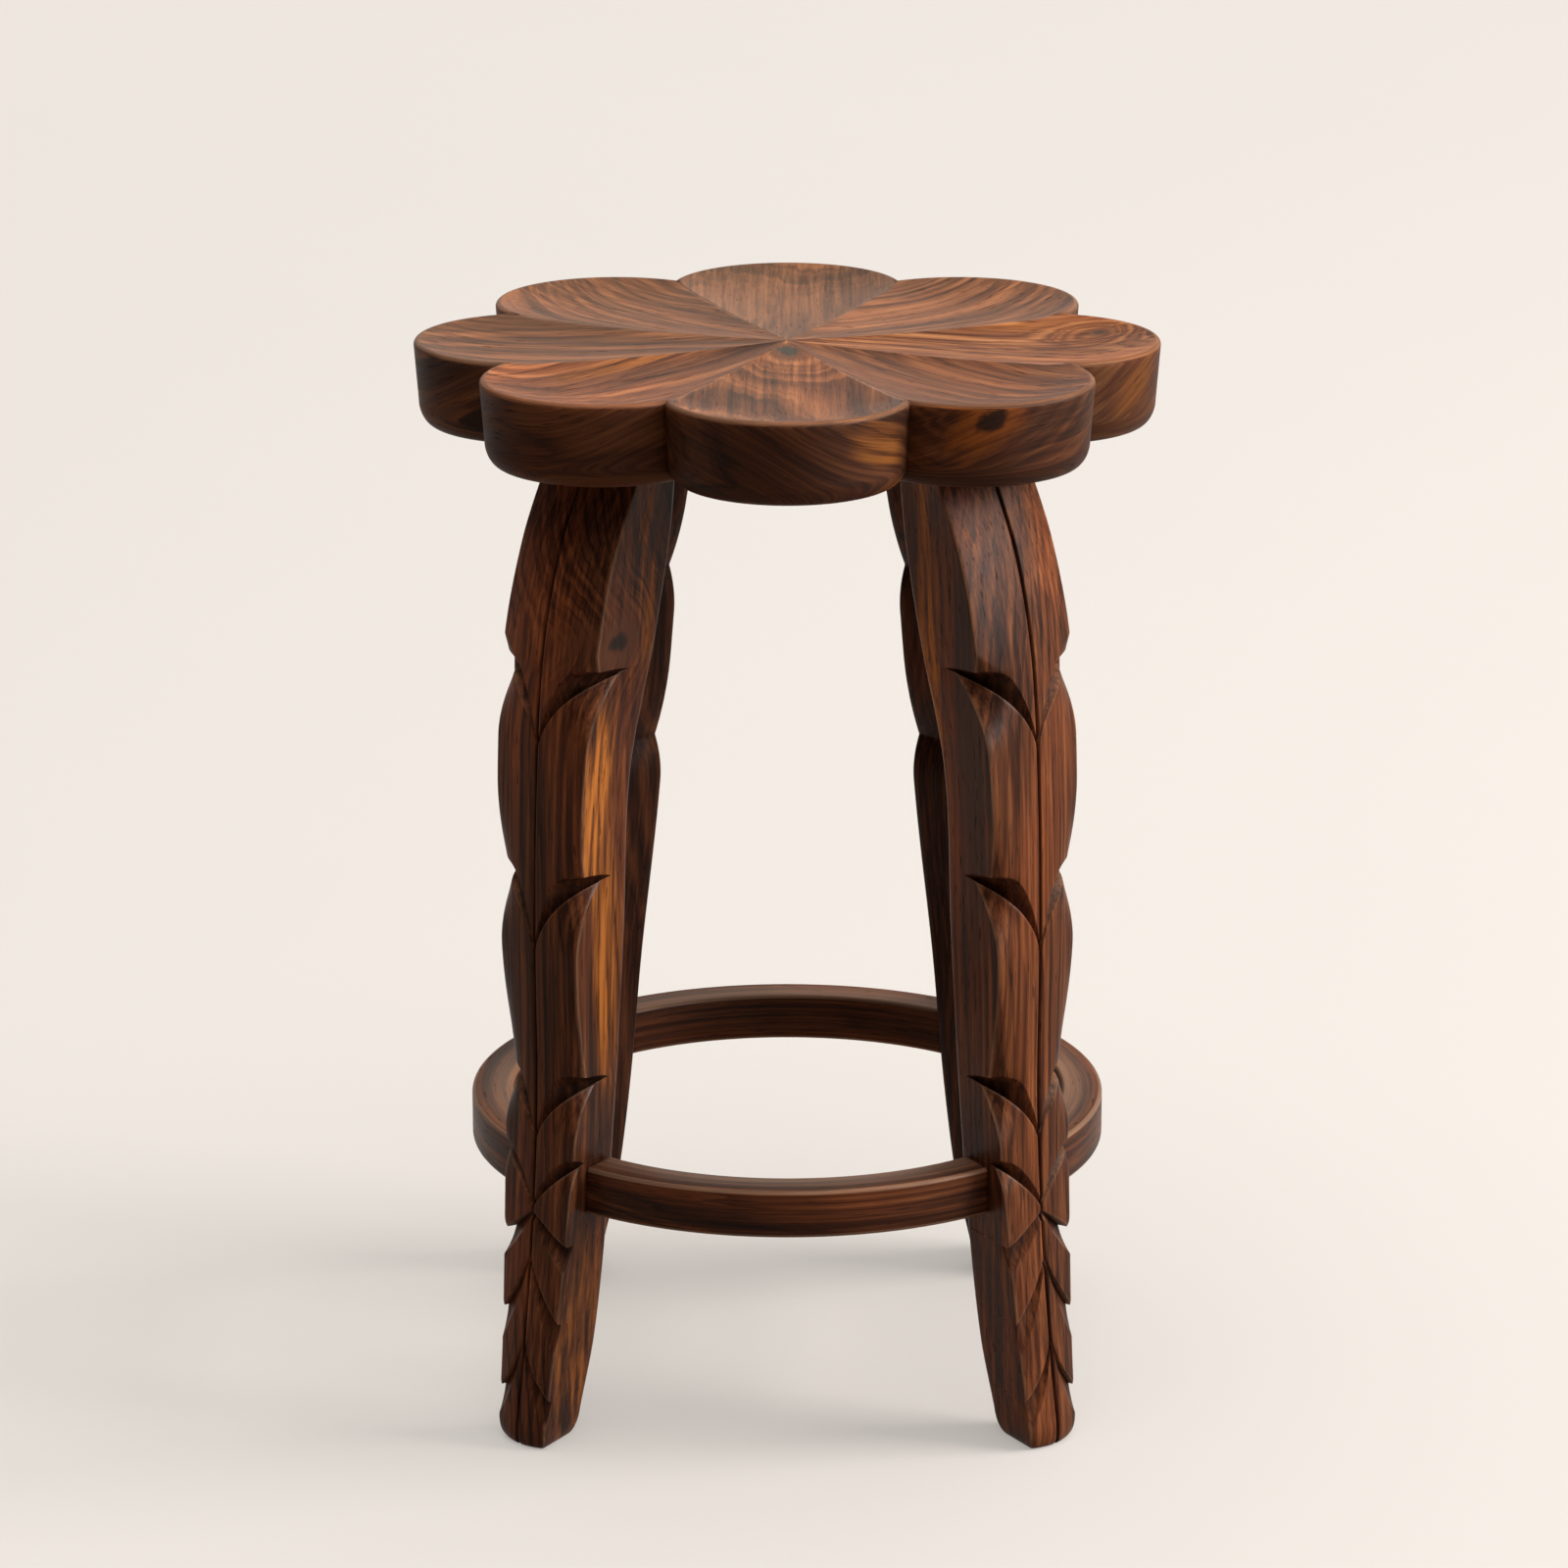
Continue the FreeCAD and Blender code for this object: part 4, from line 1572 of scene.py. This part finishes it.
@dataclass(frozen=True)
class Lamp:
    """A large soft lamp: its place, aim and size in metres, its power in watts and its colour."""

    name: str
    place: Triple
    aim: Triple
    size: tuple[float, float]
    power: float
    colour: Triple
    sheen_only: bool = False

    def hang(self) -> None:
        """Hangs the lamp."""
        light = bpy.data.lights.new(self.name, "AREA")
        light.shape = "RECTANGLE"
        light.size, light.size_y = self.size
        light.energy = self.power
        light.color = self.colour
        lamp = bpy.data.objects.new(self.name, light)
        lamp.location = self.place
        lamp.rotation_euler = (Vector(self.aim) - Vector(self.place)).to_track_quat("-Z", "Y").to_euler()
        lamp.visible_diffuse = not self.sheen_only
        bpy.context.scene.collection.objects.link(lamp)


@dataclass
class Studio:
    """Floor, soft light and the camera, in metres."""

    floor_radius: float = 16.0
    floor_sides: int = 64
    camera_place: Triple = (-0.00198, -3.6755, 1.4682)
    camera_pitch: float = 0.28902
    sensor_width: float = 36.0
    lens: float = 140.93
    sky_colour: Triple = (1.0, 0.965, 0.93)
    sky_power: float = 2.8
    sky_spread: float = 80.0
    sky_fall: Triple = (-0.12, 0.05, -1.0)
    ambient: float = 0.09
    paper: StudioPaper = StudioPaper()
    lamps: tuple[Lamp, ...] = (
        Lamp("key", (6.0, -0.3, 3.0), (0.0, 0.0, 0.40), (3.6, 3.6), 540.0, (1.0, 0.955, 0.90)),
        Lamp("panel", (0.0, 6.5, 2.6), (0.0, 0.0, 2.6), (8.0, 4.0), 72.0, (1.0, 0.96, 0.91)),
        Lamp("card", (2.7, -1.6, 1.5), (0.0, 0.0, 0.40), (1.3, 1.3), 150.0, (1.0, 0.97, 0.95), True),
    )

    def lay_floor(self) -> None:
        """Lays the pale floor."""
        bm = bmesh.new()
        bmesh.ops.create_circle(bm, cap_ends=True, segments=self.floor_sides, radius=self.floor_radius)
        mesh = bpy.data.meshes.new("floor")
        bm.to_mesh(mesh)
        bm.free()
        mesh.materials.append(self.paper.build())
        floor = bpy.data.objects.new("floor", mesh)
        bpy.context.scene.collection.objects.link(floor)

    def light(self) -> None:
        """Sets a faint surrounding, the lamps and a wide soft light above."""
        world = bpy.data.worlds.new("studio")
        world.use_nodes = True
        back = world.node_tree.nodes["Background"]
        back.inputs["Color"].default_value = (*self.sky_colour, 1.0)
        back.inputs["Strength"].default_value = self.ambient
        bpy.context.scene.world = world
        for lamp in self.lamps:
            lamp.hang()
        sky = bpy.data.lights.new("skylight", "SUN")
        sky.energy = self.sky_power
        sky.angle = math.radians(self.sky_spread)
        sky.color = self.sky_colour
        high = bpy.data.objects.new("skylight", sky)
        high.rotation_euler = Vector(self.sky_fall).to_track_quat("-Z", "Y").to_euler()
        bpy.context.scene.collection.objects.link(high)

    def point_camera(self) -> None:
        """Stands the camera at the photograph's place."""
        camera = bpy.data.cameras.new("camera")
        camera.sensor_width = self.sensor_width
        camera.lens = self.lens
        stand = bpy.data.objects.new("camera", camera)
        stand.location = self.camera_place
        stand.rotation_euler = Euler((math.pi / 2 - self.camera_pitch, 0, 0))
        bpy.context.scene.collection.objects.link(stand)
        bpy.context.scene.camera = stand

    def build(self) -> None:
        """Sets up the whole studio."""
        self.lay_floor()
        self.light()
        self.point_camera()
        bpy.context.scene.view_settings.view_transform = "Standard"


def by_place(prefix: str, woods: tuple[Rosewood, ...]) -> dict[str, Rosewood]:
    """Finishes by the place that their names give after a prefix."""
    return {wood.name.removeprefix(prefix): wood for wood in woods}


def seat_woods() -> dict[str, Rosewood]:
    """The finish of each petal.

    Returns:
        The finishes by the petals' places, from the right one towards the back.
    """
    grey_heart = Knot((0.001, 0.048, 0.023), 0.0064, swirl=6.0, spread=8.0, dark=0.9,
                      rim=(0.130, 0.060, 0.035), heart=(0.045, 0.050, 0.040))
    small_heart = Knot((0.036, 0.046, 0.193), 0.0036, swirl=3.0, spread=6.0, dark=0.8,
                       rim=(0.120, 0.050, 0.026), heart=(0.030, 0.034, 0.026))
    dark_heart = Knot((0.052, 0.0, 0.105), 0.0074, swirl=5.0, spread=6.0, dark=1.0,
                      rim=(0.760, 0.205, 0.030))
    flame = Streak((0.058, 0.0, 0.216), (0.017, 0.030, 0.026), 0.85)
    side_flame = Streak((0.050, 0.0, 0.105), (0.016, 0.030, 0.028), 0.50)
    warm_band = Streak((0.050, 0.046, 0.110), (0.011, 0.012, 0.060), 0.35)
    warm_streak = Streak((-0.034, 0.046, 0.115), (0.009, 0.012, 0.070), 0.30)
    return by_place("petal_", (
        Rosewood("petal_right", (0.3, 0.1, 0.7), (0.05, 0.16), tone=0.26, contrast=0.46, red=0.4,
                 knots=(small_heart,), streaks=(warm_band, side_flame)),
        Rosewood("petal_back_right", (1.3, 0.4, 0.2), (-0.06, 0.19), tone=0.06, contrast=0.42, red=0.3,
                 painted_sheen=0.22),
        Rosewood("petal_back", (2.1, 1.2, 0.9), (0.02, 0.22), tone=-0.07, contrast=0.42, red=0.1,
                 painted_sheen=0.28, pores=0.15),
        Rosewood("petal_back_left", (3.4, 0.6, 1.4), (0.07, 0.15), tone=0.06, contrast=0.42, red=0.3,
                 painted_sheen=0.25),
        Rosewood("petal_left", (4.2, 1.8, 0.3), (-0.03, 0.20), tone=-0.01, contrast=0.46, red=0.2,
                 painted_sheen=0.22),
        Rosewood("petal_front_left", (5.6, 0.9, 2.2), (0.05, 0.17), tone=0.14, contrast=0.42, painted_sheen=0.06,
                 streaks=(warm_streak,)),
        Rosewood("petal_front", (6.1, 2.4, 1.1), (0.0, 0.13), tone=0.10, contrast=0.36, red=0.3,
                 painted_sheen=0.14, pores=0.15, knots=(grey_heart,), streaks=(flame,)),
        Rosewood("petal_front_right", (7.7, 1.5, 0.6), (-0.05, 0.18), tone=0.10, contrast=0.26, painted_sheen=0.10,
                 knots=(dark_heart,)),
    ))


def leg_woods() -> dict[str, Rosewood]:
    """The finish of each leg.

    Returns:
        The finishes by the legs' places, from the back right one towards the left.
    """
    straight = (0.02, 0.01)
    gold = (
        Streak((0.030, 0.050, 0.405), (0.030, 0.022, 0.078), 1.00, flank_only=True),
        Streak((0.026, 0.036, 0.310), (0.030, 0.017, 0.095), 0.85, flank_only=True),
        Streak((0.022, 0.058, 0.070), (0.030, 0.026, 0.080), 0.32, flank_only=True),
        Streak((0.030, 0.004, 0.545), (0.030, 0.012, 0.070), 0.45, flank_only=True),
    )
    side_knot = Knot((0.033, 0.036, 0.508), 0.0125, swirl=5.0, spread=5.0, dark=1.0,
                     rim=(0.120, 0.042, 0.018), squeeze=1.7)
    stripe = Streak((-0.028, 0.002, 0.420), (0.030, 0.014, 0.240), 0.90, flank_only=True)
    # A dark streak of painted shade on the flank beside the leaf edge.
    flank_shade = Streak((-0.030, 0.044, 0.450), (0.030, 0.017, 0.170), 0.85, flank_only=True, dark=True)
    return by_place("leg_", (
        Rosewood("leg_back_right", (0.9, 3.1, 0.4), (0.09, -0.10), straight, tone=-0.05),
        Rosewood("leg_back_left", (1.9, 3.7, 1.6), (-0.08, -0.12), straight, tone=-0.05),
        Rosewood("leg_front_left", (2.7, 4.3, 0.8), (0.11, -0.06), straight, tone=-0.045,
                 knots=(side_knot,), streaks=gold),
        Rosewood("leg_front_right", (3.8, 4.9, 2.3), (-0.10, -0.07), straight, tone=0.03,
                 streaks=(stripe, flank_shade)),
    ))


def footrest_woods() -> dict[str, Rosewood]:
    """The finish of each footrest arc.

    Returns:
        The finishes by the arcs' sides, from the back one towards the left.
    """
    bent = (0.05, 0.02)
    return by_place("footrest_", (
        Rosewood("footrest_back", (4.4, 5.2, 0.5), (0.03, 0.10), bent, tone=-0.05),
        Rosewood("footrest_left", (5.1, 6.0, 1.2), (0.05, 0.09), bent, tone=-0.05),
        Rosewood("footrest_front", (6.6, 6.6, 2.0), (0.04, 0.11), bent, tone=-0.08),
        Rosewood("footrest_right", (7.2, 5.7, 0.1), (0.02, 0.12), bent, tone=-0.08),
    ))


def main() -> None:
    """Builds the stool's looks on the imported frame."""
    logging.basicConfig(level=logging.INFO, format="%(message)s")
    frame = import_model()
    petal_low, petal_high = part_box("petal_right")
    rest_low, rest_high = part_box("footrest_front")
    seat = FlowerSeat(petal_high.z / MM, petal_low.z / MM, petal_high.x / MM, seat_woods())
    legs = CarvedLegs(petal_low.z / MM, leg_woods())
    footrest = Footrest(rest_high.z / MM, rest_low.z / MM, -rest_low.y / MM, legs, footrest_woods())
    joints = HiddenJoints(frame["nodes"], JointWood("joint_wood", (8.1, 7.0, 0.2), (0.4, 0.3)))
    for piece in seat.build() + legs.build() + footrest.build() + joints.dress():
        LOG.info("%s has %d faces", piece.name, len(piece.data.polygons))
    Studio().build()


if __name__ == "__main__":
    main()
